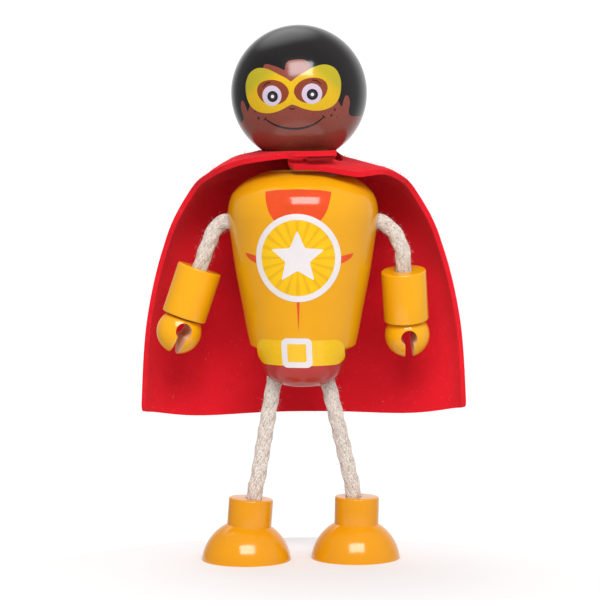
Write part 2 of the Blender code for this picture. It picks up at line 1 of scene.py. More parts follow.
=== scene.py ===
# %% [markdown]
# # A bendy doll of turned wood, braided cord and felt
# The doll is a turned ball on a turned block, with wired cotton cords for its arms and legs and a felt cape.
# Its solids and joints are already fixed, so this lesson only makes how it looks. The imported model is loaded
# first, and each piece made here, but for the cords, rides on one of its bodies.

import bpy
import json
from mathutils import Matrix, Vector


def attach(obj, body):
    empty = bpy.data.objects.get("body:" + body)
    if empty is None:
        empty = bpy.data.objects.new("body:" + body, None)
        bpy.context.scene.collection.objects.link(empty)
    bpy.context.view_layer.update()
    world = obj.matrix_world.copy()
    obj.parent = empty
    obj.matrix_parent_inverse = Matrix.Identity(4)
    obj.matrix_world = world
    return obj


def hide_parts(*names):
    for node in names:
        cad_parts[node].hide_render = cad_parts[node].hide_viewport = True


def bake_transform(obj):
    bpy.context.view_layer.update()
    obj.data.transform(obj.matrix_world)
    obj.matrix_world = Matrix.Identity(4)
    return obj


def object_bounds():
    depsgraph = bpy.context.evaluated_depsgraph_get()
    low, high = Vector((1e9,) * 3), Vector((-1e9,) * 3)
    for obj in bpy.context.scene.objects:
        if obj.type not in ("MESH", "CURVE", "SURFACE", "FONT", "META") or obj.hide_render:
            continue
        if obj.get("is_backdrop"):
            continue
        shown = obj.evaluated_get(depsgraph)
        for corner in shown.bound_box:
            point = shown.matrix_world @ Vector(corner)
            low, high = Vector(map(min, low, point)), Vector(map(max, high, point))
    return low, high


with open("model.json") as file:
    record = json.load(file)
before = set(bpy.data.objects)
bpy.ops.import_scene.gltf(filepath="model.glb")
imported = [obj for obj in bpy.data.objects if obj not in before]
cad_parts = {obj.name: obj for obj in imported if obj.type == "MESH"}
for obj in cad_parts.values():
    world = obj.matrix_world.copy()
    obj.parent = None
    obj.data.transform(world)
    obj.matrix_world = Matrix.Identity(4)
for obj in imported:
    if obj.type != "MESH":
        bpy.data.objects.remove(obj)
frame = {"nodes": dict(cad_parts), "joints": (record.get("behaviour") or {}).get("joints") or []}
cad_low, cad_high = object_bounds()

# %% Other imports
import json
import math

import bmesh
import bpy
import numpy as np
from mathutils import Matrix, Vector
from mathutils.geometry import delaunay_2d_cdt

print("Blender", bpy.app.version_string)

# %% [markdown]
# ## Camera
# The picture was taken from the front, a little above the doll. A long lens at 0.6 m keeps the feet and the
# head at one scale, as a product photographer does. One pixel is 0.2222 mm at the doll.

# %% Camera
PHOTO_SIDE = 600
PIXEL = 0.0002222
CAMERA_DISTANCE = 0.6
CAMERA_ELEVATION_DEG = 4.7
CAMERA_TARGET = Vector((-0.00067, -0.0009, 0.0581))
SENSOR = 36
NEAREST = 0.01


def new_object(name, data):
    """An object in the scene that holds a camera, a light or a mesh."""
    made = bpy.data.objects.new(name, data)
    bpy.context.scene.collection.objects.link(made)
    return made


def make_camera():
    """A long lens, aimed at the middle of the doll."""
    rise = math.radians(CAMERA_ELEVATION_DEG)
    camera = new_object("camera", bpy.data.cameras.new("camera"))
    camera.location = CAMERA_TARGET + Vector((0, -math.cos(rise), math.sin(rise))) * CAMERA_DISTANCE
    camera.rotation_euler = (CAMERA_TARGET - camera.location).to_track_quat("-Z", "Y").to_euler()
    camera.data.sensor_width = SENSOR
    camera.data.lens = SENSOR * CAMERA_DISTANCE / (PHOTO_SIDE * PIXEL)
    camera.data.clip_start = NEAREST
    bpy.context.scene.camera = camera
    return camera


camera = make_camera()
print("lens", round(camera.data.lens, 1), "mm")

# %% [markdown]
# ## Nodes
# Materials, the sky and Geometry Nodes all use trees of nodes. One small function adds a node, gives it its
# settings, and fills or links its sockets, so that each tree reads as a list of steps. Colours are written
# as on a paint chart, in sRGB hex, and one function turns them to the linear values that Blender works in.

# %% One function that adds a node
def add(tree, kind, sockets=None, **settings):
    """A node with its settings. A value in sockets that is a socket itself is linked."""
    node = tree.nodes.new(kind)
    for name, value in settings.items():
        setattr(node, name, value)
    for name, value in (sockets or {}).items():
        if isinstance(value, bpy.types.NodeSocket):
            tree.links.new(value, node.inputs[name])
        else:
            node.inputs[name].default_value = value
    return node


def colour(hex_code):
    """Linear RGBA of an sRGB hex value."""
    parts = [int(hex_code[i:i + 2], 16) / 255 for i in (0, 2, 4)]
    return (*[((c + 0.055) / 1.055) ** 2.4 if c > 0.04045 else c / 12.92 for c in parts], 1)


print("chart grey 808080 is", round(colour("808080")[0], 3), "in linear light")

# %% [markdown]
# ## Studio
# Glossy lacquer shows the whole studio, so the lights are placed from their reflections. The head and the
# chest each show one soft window: a softbox in front, well above the doll and far from it. The top of the
# head shows a weaker, blurred glow overhead. The rims show white walls behind. The front of the doll shows a
# dark room, because the fill light, which comes from low in front, is polarised and leaves no reflection. The
# doll stands on a small round white table: a wider one would show in the chest, and wash out its yellow.

# %% Sky
BACKDROP = 1.06
ROOM_FRONT = 0.30
ROOM_BACK = 1.0
BACK_WAY = (0.15, 0.98, 0)
BACK_EDGE = (0.5, 1.0)
FILL_WAY = (0, -0.6, -0.8)
FILL_EDGE = (-0.5, 1.0)
FILL_LEAST = 0.12
FILL_MOST = 0.65
LIGHTS = (
    ("glow behind, overhead", (-0.19, 0.50, 0.845), (0.86, 1.0), 1.5),
    ("ceiling", (0, 0, 1), (0.6, 0.95), 0.12),
    ("right side", (1, 0, 0), (0.3, 1.0), 0.2),
)


def make_sky():
    """A white backdrop for the camera, and for the doll the walls of the room and its soft lights."""
    world = bpy.data.worlds.new("studio")
    bpy.context.scene.world = world
    world.use_nodes = True
    tree = world.node_tree
    way = add(tree, "ShaderNodeTexCoord").outputs["Generated"]

    def lit(towards, edge, low, high):
        """A glow from one way: low outside the edge of the glow, and high in its middle."""
        near = add(tree, "ShaderNodeVectorMath", {0: way, 1: towards}, operation="DOT_PRODUCT")
        sockets = {"Value": near.outputs["Value"], "From Min": edge[0], "From Max": edge[1]}
        sockets.update({"To Min": low, "To Max": high})
        return add(tree, "ShaderNodeMapRange", sockets, interpolation_type="SMOOTHSTEP").outputs["Result"]

    walls = lit(BACK_WAY, BACK_EDGE, ROOM_FRONT, ROOM_BACK)
    for _, towards, edge, strength in LIGHTS:
        sockets = {0: walls, 1: lit(towards, edge, 0.0, strength)}
        walls = add(tree, "ShaderNodeMath", sockets, operation="ADD").outputs[0]
    ray_kind = add(tree, "ShaderNodeLightPath").outputs
    fill = lit(FILL_WAY, FILL_EDGE, FILL_LEAST, FILL_MOST)
    sockets = {0: ray_kind["Is Diffuse Ray"], 1: fill, 2: walls}
    walls = add(tree, "ShaderNodeMath", sockets, operation="MULTIPLY_ADD").outputs[0]
    strength = add(tree, "ShaderNodeMix", {0: ray_kind["Is Camera Ray"], 2: walls, 3: BACKDROP}).outputs[0]
    tree.links.new(strength, tree.nodes["Background"].inputs["Strength"])
    tree.nodes["Background"].inputs["Color"].default_value = (1, 1, 1, 1)


make_sky()
bpy.context.scene.view_settings.view_transform = "Standard"
print("walls from", ROOM_FRONT, "to", ROOM_BACK)

# %% Softbox
SOFTBOX_UP_DEG = 44
SOFTBOX_LEFT_DEG = 4
SOFTBOX_SIDES = (0.80, 0.52)
SOFTBOX_DISTANCE = 1.2
SOFTBOX_WATTS = 14


def make_softbox():
    """A rectangular light that faces the doll."""
    light = bpy.data.lights.new("front_softbox", "AREA")
    light.shape = "RECTANGLE"
    light.size, light.size_y = SOFTBOX_SIDES
    light.energy = SOFTBOX_WATTS
    lamp = new_object("front_softbox", light)
    up, side = math.radians(SOFTBOX_UP_DEG), math.radians(SOFTBOX_LEFT_DEG)
    way = Vector((math.sin(side) * math.cos(up), -math.cos(side) * math.cos(up), math.sin(up)))
    lamp.location = CAMERA_TARGET + way * SOFTBOX_DISTANCE
    lamp.rotation_euler = (-way).to_track_quat("-Z", "Y").to_euler()
    print(lamp.name, light.energy, "W")


make_softbox()

# %% [markdown]
# ## Mesh tools
# Every turned piece is an outline spun round an axis, as on a lathe. A finished piece keeps its object at
# the origin, and its place is in its mesh, so that patterns on object coordinates don't slide when it is
# exported. Bores are cut with Boolean modifiers, as a drill would cut them.

# %% Turned shapes
SIDES = 128
ROD_SIDES = 64


def skin(rings, looped=False):
    """A mesh over rings of points. A ring of one point is a pole."""
    bm = bmesh.new()
    rows = [[bm.verts.new(point) for point in ring] for ring in rings]
    pairs = list(zip(rows, rows[1:]))
    if looped:
        pairs.append((rows[-1], rows[0]))
    for low, high in pairs:
        count = max(len(low), len(high))
        for i in range(count):
            j = (i + 1) % count
            corners = [low[k % len(low)] for k in (i, j)] + [high[k % len(high)] for k in (j, i)]
            bm.faces.new(tuple(dict.fromkeys(corners)))
    if not looped:
        for end in (rows[0], rows[-1]):
            if len(end) > 1:
                bm.faces.new(end)
    return bm


def turned(outline, sides=SIDES, looped=False):
    """A mesh turned round Z, from points (radius, height)."""
    turns = [math.tau * i / sides for i in range(sides)]
    rings = []
    for radius, height in outline:
        if radius == 0:
            rings.append([Vector((0, 0, height))])
        else:
            rings.append([Vector((radius * math.cos(a), radius * math.sin(a), height)) for a in turns])
    return skin(rings, looped)


def arc(radius, centre, start_deg, end_deg, steps, out=0):
    """Points (radius, height) on a circle round (out, centre)."""
    turns = [math.radians(start_deg + (end_deg - start_deg) * i / steps) for i in range(steps + 1)]
    return [(out + radius * math.cos(a), centre + radius * math.sin(a)) for a in turns]


def rod(radius, low, high):
    """A plain cylinder, for a drill."""
    return turned(((0, low), (radius, low), (radius, high), (0, high)), ROD_SIDES)


print("sides of a turned piece", SIDES)

# %% Place and finish a piece
AXIS_Y = -0.0009
DOLL = Matrix.Translation((0, AXIS_Y, 0))
WELD = 1e-7
SHARP_DEG = 35


def aim(axis, at):
    """The matrix that takes +Z to axis and the origin to at, keeping -Y to the front."""
    up = Vector(axis).normalized()
    side = Vector((0, -1, 0)).cross(up).normalized()
    front = side.cross(up)
    return Matrix.Translation(at) @ Matrix((side, -front, up)).transposed().to_4x4()


def shade(mesh):
    """Smooth shading, but for the edges that the lathe or the saw left sharp."""
    mesh.shade_smooth()
    mesh.set_sharp_from_angle(angle=math.radians(SHARP_DEG))


def piece(name, bm, finishes, place=DOLL):
    """A finished object at the origin. Its faces point outwards and its doubles are merged."""
    bm.transform(place)
    bmesh.ops.remove_doubles(bm, verts=bm.verts, dist=WELD)
    bmesh.ops.recalc_face_normals(bm, faces=bm.faces)
    if bm.calc_volume(signed=True) < 0:
        bmesh.ops.reverse_faces(bm, faces=bm.faces)
    mesh = bpy.data.meshes.new(name)
    bm.to_mesh(mesh)
    bm.free()
    for finish in finishes:
        mesh.materials.append(finish)
    shade(mesh)
    return new_object(name, mesh)


print("the doll's axis is at y", AXIS_Y * 1000, "mm")

# %% Cut a piece
def bake_modifiers(made):
    """The object's mesh as its modifiers leave it, with no modifier on it."""
    graph = bpy.context.evaluated_depsgraph_get()
    shaped = made.evaluated_get(graph)
    mesh = bpy.data.meshes.new_from_object(shaped, preserve_all_data_layers=True, depsgraph=graph)
    made.modifiers.clear()
    made.data = mesh
    return mesh


def cut(made, cutters, finish_number):
    """Takes closed meshes out of a piece. The cut faces get the finish of that number."""
    tools = []
    for bm in cutters:
        for face in bm.faces:
            face.material_index = finish_number
        tool = piece("cutter", bm, made.data.materials)
        boolean = made.modifiers.new("cut", "BOOLEAN")
        boolean.operation = "DIFFERENCE"
        boolean.solver = "EXACT"
        boolean.object = tool
        tools.append(tool)
    bake_modifiers(made)
    for tool in tools:
        bpy.data.objects.remove(tool)
    shade(made.data)
    print(made.name, len(made.data.polygons), "faces after", len(tools), "cuts")


# %% [markdown]
# ## Lacquer on turned wood
# The body, head, cuffs, hands and feet are beech or birch, turned, dipped or sprayed with coloured
# nitrocellulose lacquer and hung to dry. Such a coat is smooth enough to mirror the softbox, but it isn't a
# perfect mirror: it has a soft orange peel of about a millimetre, faint rings left by the lathe tool, and it
# runs a little thin in places, which shifts its colour. IOR 1.5 is typical for lacquer.

# %% Lacquer
LACQUER_IOR = 1.5
PEEL = 0.0011
PEEL_DEPTH = 0.00008
TOOL_RINGS = 0.0007
TOOL_RING_DEPTH = 0.00004
WAVES_IN_SCALE = 20
BLOTCH = 0.006
GLOSS_RANGE = (0.75, 1.35)


def new_material(name, tint, roughness):
    """A material with its tree, its shader, and a socket that gives the place on the object."""
    made = bpy.data.materials.new(name)
    made.use_nodes = True
    shader = made.node_tree.nodes["Principled BSDF"]
    shader.inputs["Base Color"].default_value = colour(tint)
    shader.inputs["Roughness"].default_value = roughness
    place = add(made.node_tree, "ShaderNodeTexCoord").outputs["Object"]
    return made, made.node_tree, shader, place


def orange_peel(tree, place):
    """The slight waves of a sprayed coat, which bend its reflections."""
    peel = add(tree, "ShaderNodeTexNoise", {"Vector": place, "Scale": 1 / PEEL, "Detail": 1.0})
    sockets = {"Strength": 0.05, "Distance": PEEL_DEPTH, "Height": peel.outputs["Fac"]}
    return add(tree, "ShaderNodeBump", sockets).outputs["Normal"]


def lacquer(name, tint, thin_tint, roughness=0.14, lean_deg=0):
    """Sprayed lacquer. lean_deg turns the tool rings with a piece that leans sideways."""
    made, tree, shader, place = new_material(name, tint, roughness)
    # Thin and thick places in the coat give the eye a slow, uneven shift of colour.
    blotch = add(tree, "ShaderNodeTexNoise", {"Vector": place, "Scale": 1 / BLOTCH, "Detail": 3.0})
    sockets = {0: blotch.outputs["Fac"], 6: colour(tint), 7: colour(thin_tint)}
    mixed = add(tree, "ShaderNodeMix", sockets, data_type="RGBA")
    tree.links.new(mixed.outputs[2], shader.inputs["Base Color"])
    # Handling leaves the gloss a little uneven.
    sockets = {"Value": blotch.outputs["Fac"], "From Min": 0.3, "From Max": 0.7}
    sockets.update({"To Min": roughness * GLOSS_RANGE[0], "To Max": roughness * GLOSS_RANGE[1]})
    gloss = add(tree, "ShaderNodeMapRange", sockets)
    tree.links.new(gloss.outputs["Result"], shader.inputs["Roughness"])
    # The rings left by the lathe tool show at a low angle.
    leaning = {"Vector": place, "Rotation": (0, math.radians(lean_deg), 0)}
    turned_place = add(tree, "ShaderNodeMapping", leaning).outputs["Vector"]
    sockets = {"Vector": turned_place, "Scale": 1 / (TOOL_RINGS * WAVES_IN_SCALE), "Distortion": 1.5}
    rings = add(tree, "ShaderNodeTexWave", sockets, wave_type="BANDS", bands_direction="Z")
    sockets = {"Strength": 0.03, "Distance": TOOL_RING_DEPTH, "Height": rings.outputs["Fac"]}
    sockets["Normal"] = orange_peel(tree, place)
    bump = add(tree, "ShaderNodeBump", sockets)
    tree.links.new(bump.outputs["Normal"], shader.inputs["Normal"])
    shader.inputs["IOR"].default_value = LACQUER_IOR
    return made


body_yellow = lacquer("sprayed_lacquer_orange_yellow", "DF9D0D", "D7940B")
low_maroon = lacquer("sprayed_lacquer_maroon", "B32D27", "A62722")
foot_yellow = lacquer("sprayed_lacquer_yellow_foot", "DA910C", "D2890A")
cuff_yellow = lacquer("sprayed_lacquer_yellow_cuff", "E7A30D", "DF9A0B", lean_deg=18)
hair_black = lacquer("sprayed_lacquer_black", "161114", "120E10")
top_yellow = lacquer("lacquer_soaked_into_end_grain", "DF9D0D", "CB8B09", 0.75)
for finish in (body_yellow, low_maroon, foot_yellow, cuff_yellow, hair_black, top_yellow):
    print(finish.name, len(finish.node_tree.nodes), "nodes")

# %% [markdown]
# ## Printed paint
# The face, the belt and the chest marks are pad-printed: a soft pad presses a thin film of ink onto the round
# surface, and the clear coat goes over it. Each colour here is a closed shell, a few hundredths of a
# millimetre thick, cut out of a flat outline and laid onto the surface, so its edge is crisp from any side.

# %% Ink
INK_GRAIN = 0.0004
MASK_MIDDLE = (-0.0016, 0.1040)
MASK_CORNER = (0.0078, 0.0123)
MASK_CORNER_SLOPE = 1.2


def ink(name, tint, dark_tint, roughness=0.14, over_black=None):
    """Pad-printing ink under clear coat: an even film with a fine, faint mottle from the pad."""
    made, tree, shader, place = new_material(name, tint, roughness)
    grain = add(tree, "ShaderNodeTexNoise", {"Vector": place, "Scale": 1 / INK_GRAIN, "Detail": 2.0})
    slow = add(tree, "ShaderNodeTexNoise", {"Vector": place, "Scale": 1 / BLOTCH, "Detail": 2.0})
    sockets = {0: grain.outputs["Fac"], 1: slow.outputs["Fac"]}
    both = add(tree, "ShaderNodeMath", sockets, operation="MULTIPLY")
    sockets = {"Value": both.outputs[0], "From Min": 0.12, "From Max": 0.40}
    share = add(tree, "ShaderNodeMapRange", sockets)
    sockets = {0: share.outputs["Result"], 6: colour(dark_tint), 7: colour(tint)}
    mixed = add(tree, "ShaderNodeMix", sockets, data_type="RGBA").outputs[2]
    if over_black:
        # The film isn't quite opaque, so the mask looks greener at its top corners, over the black hair.
        parts = add(tree, "ShaderNodeSeparateXYZ", {"Vector": place}).outputs
        across, above = (
            add(tree, "ShaderNodeMath", {0: parts[axis], 1: middle}, operation="SUBTRACT").outputs[0]
            for axis, middle in zip("XZ", MASK_MIDDLE)
        )
        across = add(tree, "ShaderNodeMath", {0: across}, operation="ABSOLUTE").outputs[0]
        sockets = {0: above, 1: MASK_CORNER_SLOPE, 2: across}
        corner = add(tree, "ShaderNodeMath", sockets, operation="MULTIPLY_ADD").outputs[0]
        sockets = {"Value": corner, "From Min": MASK_CORNER[0], "From Max": MASK_CORNER[1]}
        share = add(tree, "ShaderNodeMapRange", sockets, interpolation_type="SMOOTHSTEP").outputs["Result"]
        sockets = {0: share, 6: mixed, 7: colour(over_black)}
        mixed = add(tree, "ShaderNodeMix", sockets, data_type="RGBA").outputs[2]
    tree.links.new(mixed, shader.inputs["Base Color"])
    tree.links.new(orange_peel(tree, place), shader.inputs["Normal"])
    shader.inputs["IOR"].default_value = LACQUER_IOR
    return made


# The skin's brown is paler and greyer than the brown in the eye holes: painted sheen, a painted reflection of
# the white floor on the cheeks.
painted_sheen_skin_ink = ink("printed_ink_brown", "844134", "7B392E", 0.17)
ink_mask = ink("printed_ink_yellow", "D1A811", "C79E10", over_black="A89A1C")
ink_white = ink("printed_ink_white", "DCD5D5", "D4CDCE")
ink_black = ink("printed_ink_black", "1B1518", "171214")
ink_grey = ink("printed_ink_grey", "3C3A42", "36343C")
# The eye holes show the same skin brown without the painted sheen, so they look warmer and deeper than the
# cheeks.
eye_hole_ink_without_sheen = ink("printed_ink_warm_brown", "833A24", "79341F")
ink_eye_white = ink("printed_ink_cool_white", "C3B3C5", "BBABBD")
ink_line = ink("printed_ink_dark_brown", "3A1512", "33120F")
ink_orange = ink("printed_ink_orange", "D8491C", "CC4218")
ink_belt = ink("printed_ink_belt_yellow", "E8B80A", "E0AE0A")
ink_ray = ink("printed_ink_ray_yellow", "DEA90B", "D6A10B")
print("inks", sum(finish.name.startswith("printed_ink") for finish in bpy.data.materials))

# %% Outlines
STROKE_SWELL = 0.7


def curve_through(points, steps=6, closed=False):
    """Points along a smooth line through the given ones."""
    spread = [Vector(p) for p in points]
    if closed:
        spread = [spread[-1]] + spread + spread[:2]
    else:
        spread = [spread[0] * 2 - spread[1]] + spread + [spread[-1] * 2 - spread[-2]]
    line = []
    for a, b, c, d in zip(spread, spread[1:], spread[2:], spread[3:]):
        for i in range(steps):
            t = i / steps
            middle = b * 2 + (c - a) * t + (a * 2 - b * 5 + c * 4 - d) * t * t
            line.append((middle + (b * 3 - a - c * 3 + d) * t ** 3) / 2)
    if not closed:
        line.append(spread[-2])
    return line


def mirrored(half):
    """A closed outline from the half on the +X side, whose first and last point lie on the middle line."""
    return half + flipped(half[1:-1])


def oval(centre, half_sides, count=48, roundness=2.0):
    """An oval, or with more roundness a box with rounded corners."""
    line = []
    for i in range(count):
        turn = math.tau * i / count
        c, s = math.cos(turn), math.sin(turn)
        x = math.copysign(abs(c) ** (2 / roundness), c) * half_sides[0]
        y = math.copysign(abs(s) ** (2 / roundness), s) * half_sides[1]
        line.append(Vector((centre[0] + x, centre[1] + y)))
    return line


def stroke(points, width, tip_width, squeeze=1.0):
    """The outline of a pen stroke, which tapers to both ends. squeeze scales its width along X."""
    line = curve_through(points, 8)
    left, right = [], []
    for i, point in enumerate(line):
        along = (line[min(i + 1, len(line) - 1)] - line[max(i - 1, 0)]).normalized()
        across = Vector((-along.y * squeeze, along.x))
        share = math.sin(math.pi * i / (len(line) - 1)) ** STROKE_SWELL
        half = (tip_width + (width - tip_width) * share) / 2
        left.append(point + across * half)
        right.append(point - across * half)
    return left + right[::-1]


def moved(line, x, y):
    """The outline, shifted."""
    return [Vector((p.x + x, p.y + y)) for p in line]


def densely(points, spacing):
    """The same outline with points at least this close."""
    line = []
    for a, b in zip(points, points[1:]):
        count = max(1, math.ceil((Vector(b) - Vector(a)).length / spacing))
        line += [Vector(a).lerp(Vector(b), i / count) for i in range(count)]
    return line + [Vector(points[-1])]


def densely_closed(points, spacing):
    """The same for a closed outline, whose last point joins the first."""
    return densely([*points, points[0]], spacing)[:-1]


def flipped(line):
    """The outline's mirror image across the middle line."""
    return [Vector((-p.x, p.y)) for p in reversed(line)]


print("points on an oval", len(oval((0, 0), (1, 1))))

# %% Flat triangles inside an outline
RIM_CLEARANCE_STEPS = 0.4
SAME_POINT = 1e-6


def inside(points, loops):
    """Which points lie inside the loops. A loop inside a loop is a hole."""
    x, y = points[:, 0], points[:, 1]
    hit = np.zeros(len(points), bool)
    for loop in loops:
        for a, b in zip(loop, loop[1:] + loop[:1]):
            if a.y != b.y:
                between = (a.y > y) != (b.y > y)
                hit ^= between & (x < (b.x - a.x) * (y - a.y) / (b.y - a.y) + a.x)
    return hit


def flat_mesh(loops, step):
    """Triangles inside the loops, small enough to follow a round surface."""
    rim = [p for loop in loops for p in loop]
    edges, first = [], 0
    for loop in loops:
        edges += [(first + i, first + (i + 1) % len(loop)) for i in range(len(loop))]
        first += len(loop)
    low = [min(p[k] for p in rim) for k in (0, 1)]
    high = [max(p[k] for p in rim) for k in (0, 1)]
    grid = np.array([(x, y) for x in np.arange(low[0] + step / 2, high[0], step)
                     for y in np.arange(low[1] + step / 2, high[1], step)]).reshape(-1, 2)
    if len(grid):
        edge_points = np.array([tuple(p) for p in rim])
        gaps = np.array([np.min(np.sum((edge_points - g) ** 2, 1)) for g in grid])
        grid = grid[inside(grid, loops) & ~(gaps < (step * RIM_CLEARANCE_STEPS) ** 2)]
    points = rim + [Vector(g) for g in grid]
    points, _, faces, *_ = delaunay_2d_cdt(points, edges, [], 0, SAME_POINT)
    flat = np.array([tuple(p) for p in points])
    faces = [list(f) for f in faces]
    middles = np.array([flat[f].mean(0) for f in faces])
    return flat, [f for f, kept in zip(faces, inside(middles, loops)) if kept]


flat, faces = flat_mesh([oval((0, 0), (1, 1))], 0.2)
print("an oval takes", len(faces), "triangles")

# %% Laying paint onto a surface
PAINT_FILM = 0.000015
SHELL_DEPTH = 0.00005
SAME_PLACE_DIGITS = 7


def paint(name, shapes, onto, step, layer, finish, body, place, depth=SHELL_DEPTH):
    """A film of paint. Each shape is a list of loops, and onto gives a flat point's place and normal."""
    top, normals, triangles, seen = [], [], [], {}
    for loops in shapes:
        flat, faces = flat_mesh(loops, step)
        numbers = []
        for a, b in flat:
            point, normal = onto(a, b)
            key = tuple(round(v, SAME_PLACE_DIGITS) for v in point)
            if key not in seen:
                seen[key] = len(top)
                top.append(point)
                normals.append(normal)
            numbers.append(seen[key])
        for face in faces:
            a, b, c = (numbers[k] for k in face)
            if len({a, b, c}) == 3:
                facing = (top[b] - top[a]).cross(top[c] - top[a]).dot(normals[a]) > 0
                triangles.append((a, b, c) if facing else (a, c, b))
    # The film's top and under side, and walls between them along its edges.
    count = len(top)
    verts = [p + n * out for out in (PAINT_FILM * layer, -depth) for p, n in zip(top, normals)]
    edges = {(t[i], t[(i + 1) % 3]) for t in triangles for i in range(3)}
    walls = [(b, a, a + count, b + count) for a, b in edges if (b, a) not in edges]
    unders = [(c + count, b + count, a + count) for a, b, c in triangles]
    mesh = bpy.data.meshes.new(name)
    mesh.from_pydata(verts, [], triangles + walls + unders)
    mesh.transform(place)
    mesh.materials.append(finish)
    mesh.shade_smooth()
    turn = place.to_3x3()
    mesh.normals_split_custom_set_from_vertices([(turn @ n).normalized() for n in normals] * 2)
    made = new_object(name, mesh)
    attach(made, body)
    print(name, len(triangles), "triangles")


print("film of paint", PAINT_FILM * 1000, "mm")

# %% [markdown]
# ## Head
# A ball turned from one block, with a bore for the neck dowel below. It sits turned and leaning a little, as
# in the photograph. It is spun from its outline, with enough sides that its rim is round at any zoom.

# %% Head ball
HEAD_RADIUS = 0.0150
HEAD_STEPS = 72
HEAD_BORE_DEPTH = 0.0080
HEAD_LEAN_DEG = -3
HEAD_TURN_DEG = -7
NECK_GAP = 0.0020
DOWEL_BORE_RADIUS = 0.00325
BODY_BOTTOM_Z = 0.0388
BODY_HEIGHT = 0.0482

neck = DOLL @ Matrix.Translation((0, 0, BODY_BOTTOM_Z + BODY_HEIGHT))
neck = neck @ Matrix.Rotation(math.radians(HEAD_LEAN_DEG), 4, "Y")
head_centre = NECK_GAP + HEAD_RADIUS
head_place = neck @ Matrix.Rotation(math.radians(HEAD_TURN_DEG), 4, "Z")
head_place = head_place @ Matrix.Translation((0, 0, head_centre))
bore_deg = math.degrees(math.acos(DOWEL_BORE_RADIUS / HEAD_RADIUS))
outline = [(0, HEAD_BORE_DEPTH - HEAD_RADIUS), (DOWEL_BORE_RADIUS, HEAD_BORE_DEPTH - HEAD_RADIUS)]
outline += arc(HEAD_RADIUS, 0, -bore_deg, 90, HEAD_STEPS)[:-1] + [(0, HEAD_RADIUS)]
head = piece("head_ball", turned(outline), [hair_black], head_place)
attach(head, "head")
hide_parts("head")
print("head", len(head.data.polygons), "faces")

# %% [markdown]
# ## Face
# The prints on the head are drawn as a map: degrees round the ball and degrees above its middle. The face is
# symmetrical, so most outlines are given for one side and mirrored. The black coat shows as the hair, and the
# brown is printed over it, round the face and the whole neck.

# %% Face outlines, in degrees round and up
FACE_TURN_DEG = 0.8


def on_head(around, above):
    """The place and the way out of the surface at a point of the map."""
    a, b = math.radians(around + FACE_TURN_DEG), math.radians(above)
    normal = Vector((math.sin(a) * math.cos(b), -math.cos(a) * math.cos(b), math.sin(b)))
    return normal * HEAD_RADIUS, normal


MASK_HALF = (
    (0, 9.9), (5, 13.6), (10, 16.2), (15, 18.9), (20.5, 21.3), (27, 22.9), (33, 22.9), (38, 21.2),
    (41.8, 17.9), (43.8, 13), (44.3, 8), (43.8, 3.4), (42.5, -2.2), (40.1, -7.4), (36.2, -11.3),
    (31, -13.8), (25, -15.1), (18.5, -15.1), (13, -14.0), (8.5, -12.5), (4, -10.3), (0, -8.8),
)
EYE_HOLE = (
    (2.1, 2.0), (3.8, 6.1), (8.2, 9.9), (13.5, 11.8), (19, 12.3), (25.2, 11.2), (29.3, 8.4), (30.8, 4.3),
    (29.8, 0), (27, -4), (22, -7.3), (16, -8.6), (10, -7.7), (5.2, -5), (2.8, -1.4),
)
HAIRLINE = (
    (-24, 17), (-26.3, 22), (-26, 25.5), (-22.9, 26.3), (-16.8, 24.6), (-11, 22.6), (-5.6, 20.1),
    (-4.9, 23.6), (-3.2, 27.2), (0.5, 28.7), (7, 29.0), (12.6, 28.4), (15.6, 26.2), (17.4, 22.6), (17, 17),
)
UNDER_MASK = ((39.5, 4), (38, 13), (31, 18.5), (24, 18.5))
SIDE_HAIR = (
    (38, -4), (41, -8.6), (44.6, -13), (46, -8.6), (47.6, -4.9), (49.9, -3.6), (52.6, -6), (54, -11),
    (53.7, -16.5), (56, -20.6), (62, -22.2),
)
HAIR_LOW_DEG = -23.5
SKIN_LOW_DEG = -76
BACK_DEG = 180
OUTLINE_STEP_DEG = 2


def skin_outline():
    """Round the neck, up both sides of the face and along the hairline, in degrees."""
    step = OUTLINE_STEP_DEG
    right_side, right_under = ([(-x, y) for x, y in line] for line in (SIDE_HAIR, UNDER_MASK[::-1]))
    low_right, low_left = ((back, SKIN_LOW_DEG) for back in (-BACK_DEG, BACK_DEG))
    hair_right, hair_left = ((back, HAIR_LOW_DEG) for back in (-BACK_DEG, BACK_DEG))
    ring = densely([low_right, low_left, hair_left, SIDE_HAIR[-1]], step)
    ring += curve_through(SIDE_HAIR[::-1], 4)[1:]
    ring += densely([SIDE_HAIR[0], *UNDER_MASK, HAIRLINE[-1]], step)[1:-1]
    ring += curve_through(HAIRLINE[::-1], 5)
    ring += densely([HAIRLINE[0], *right_under, right_side[0]], step)[1:-1]
    ring += curve_through(right_side, 4)
    return ring + densely([right_side[-1], hair_right, low_right], step)[1:-1]


mask = mirrored(curve_through(MASK_HALF))
hole = curve_through(EYE_HOLE, closed=True)
print("mask outline", len(mask), "points, skin outline", len(skin_outline()), "points")

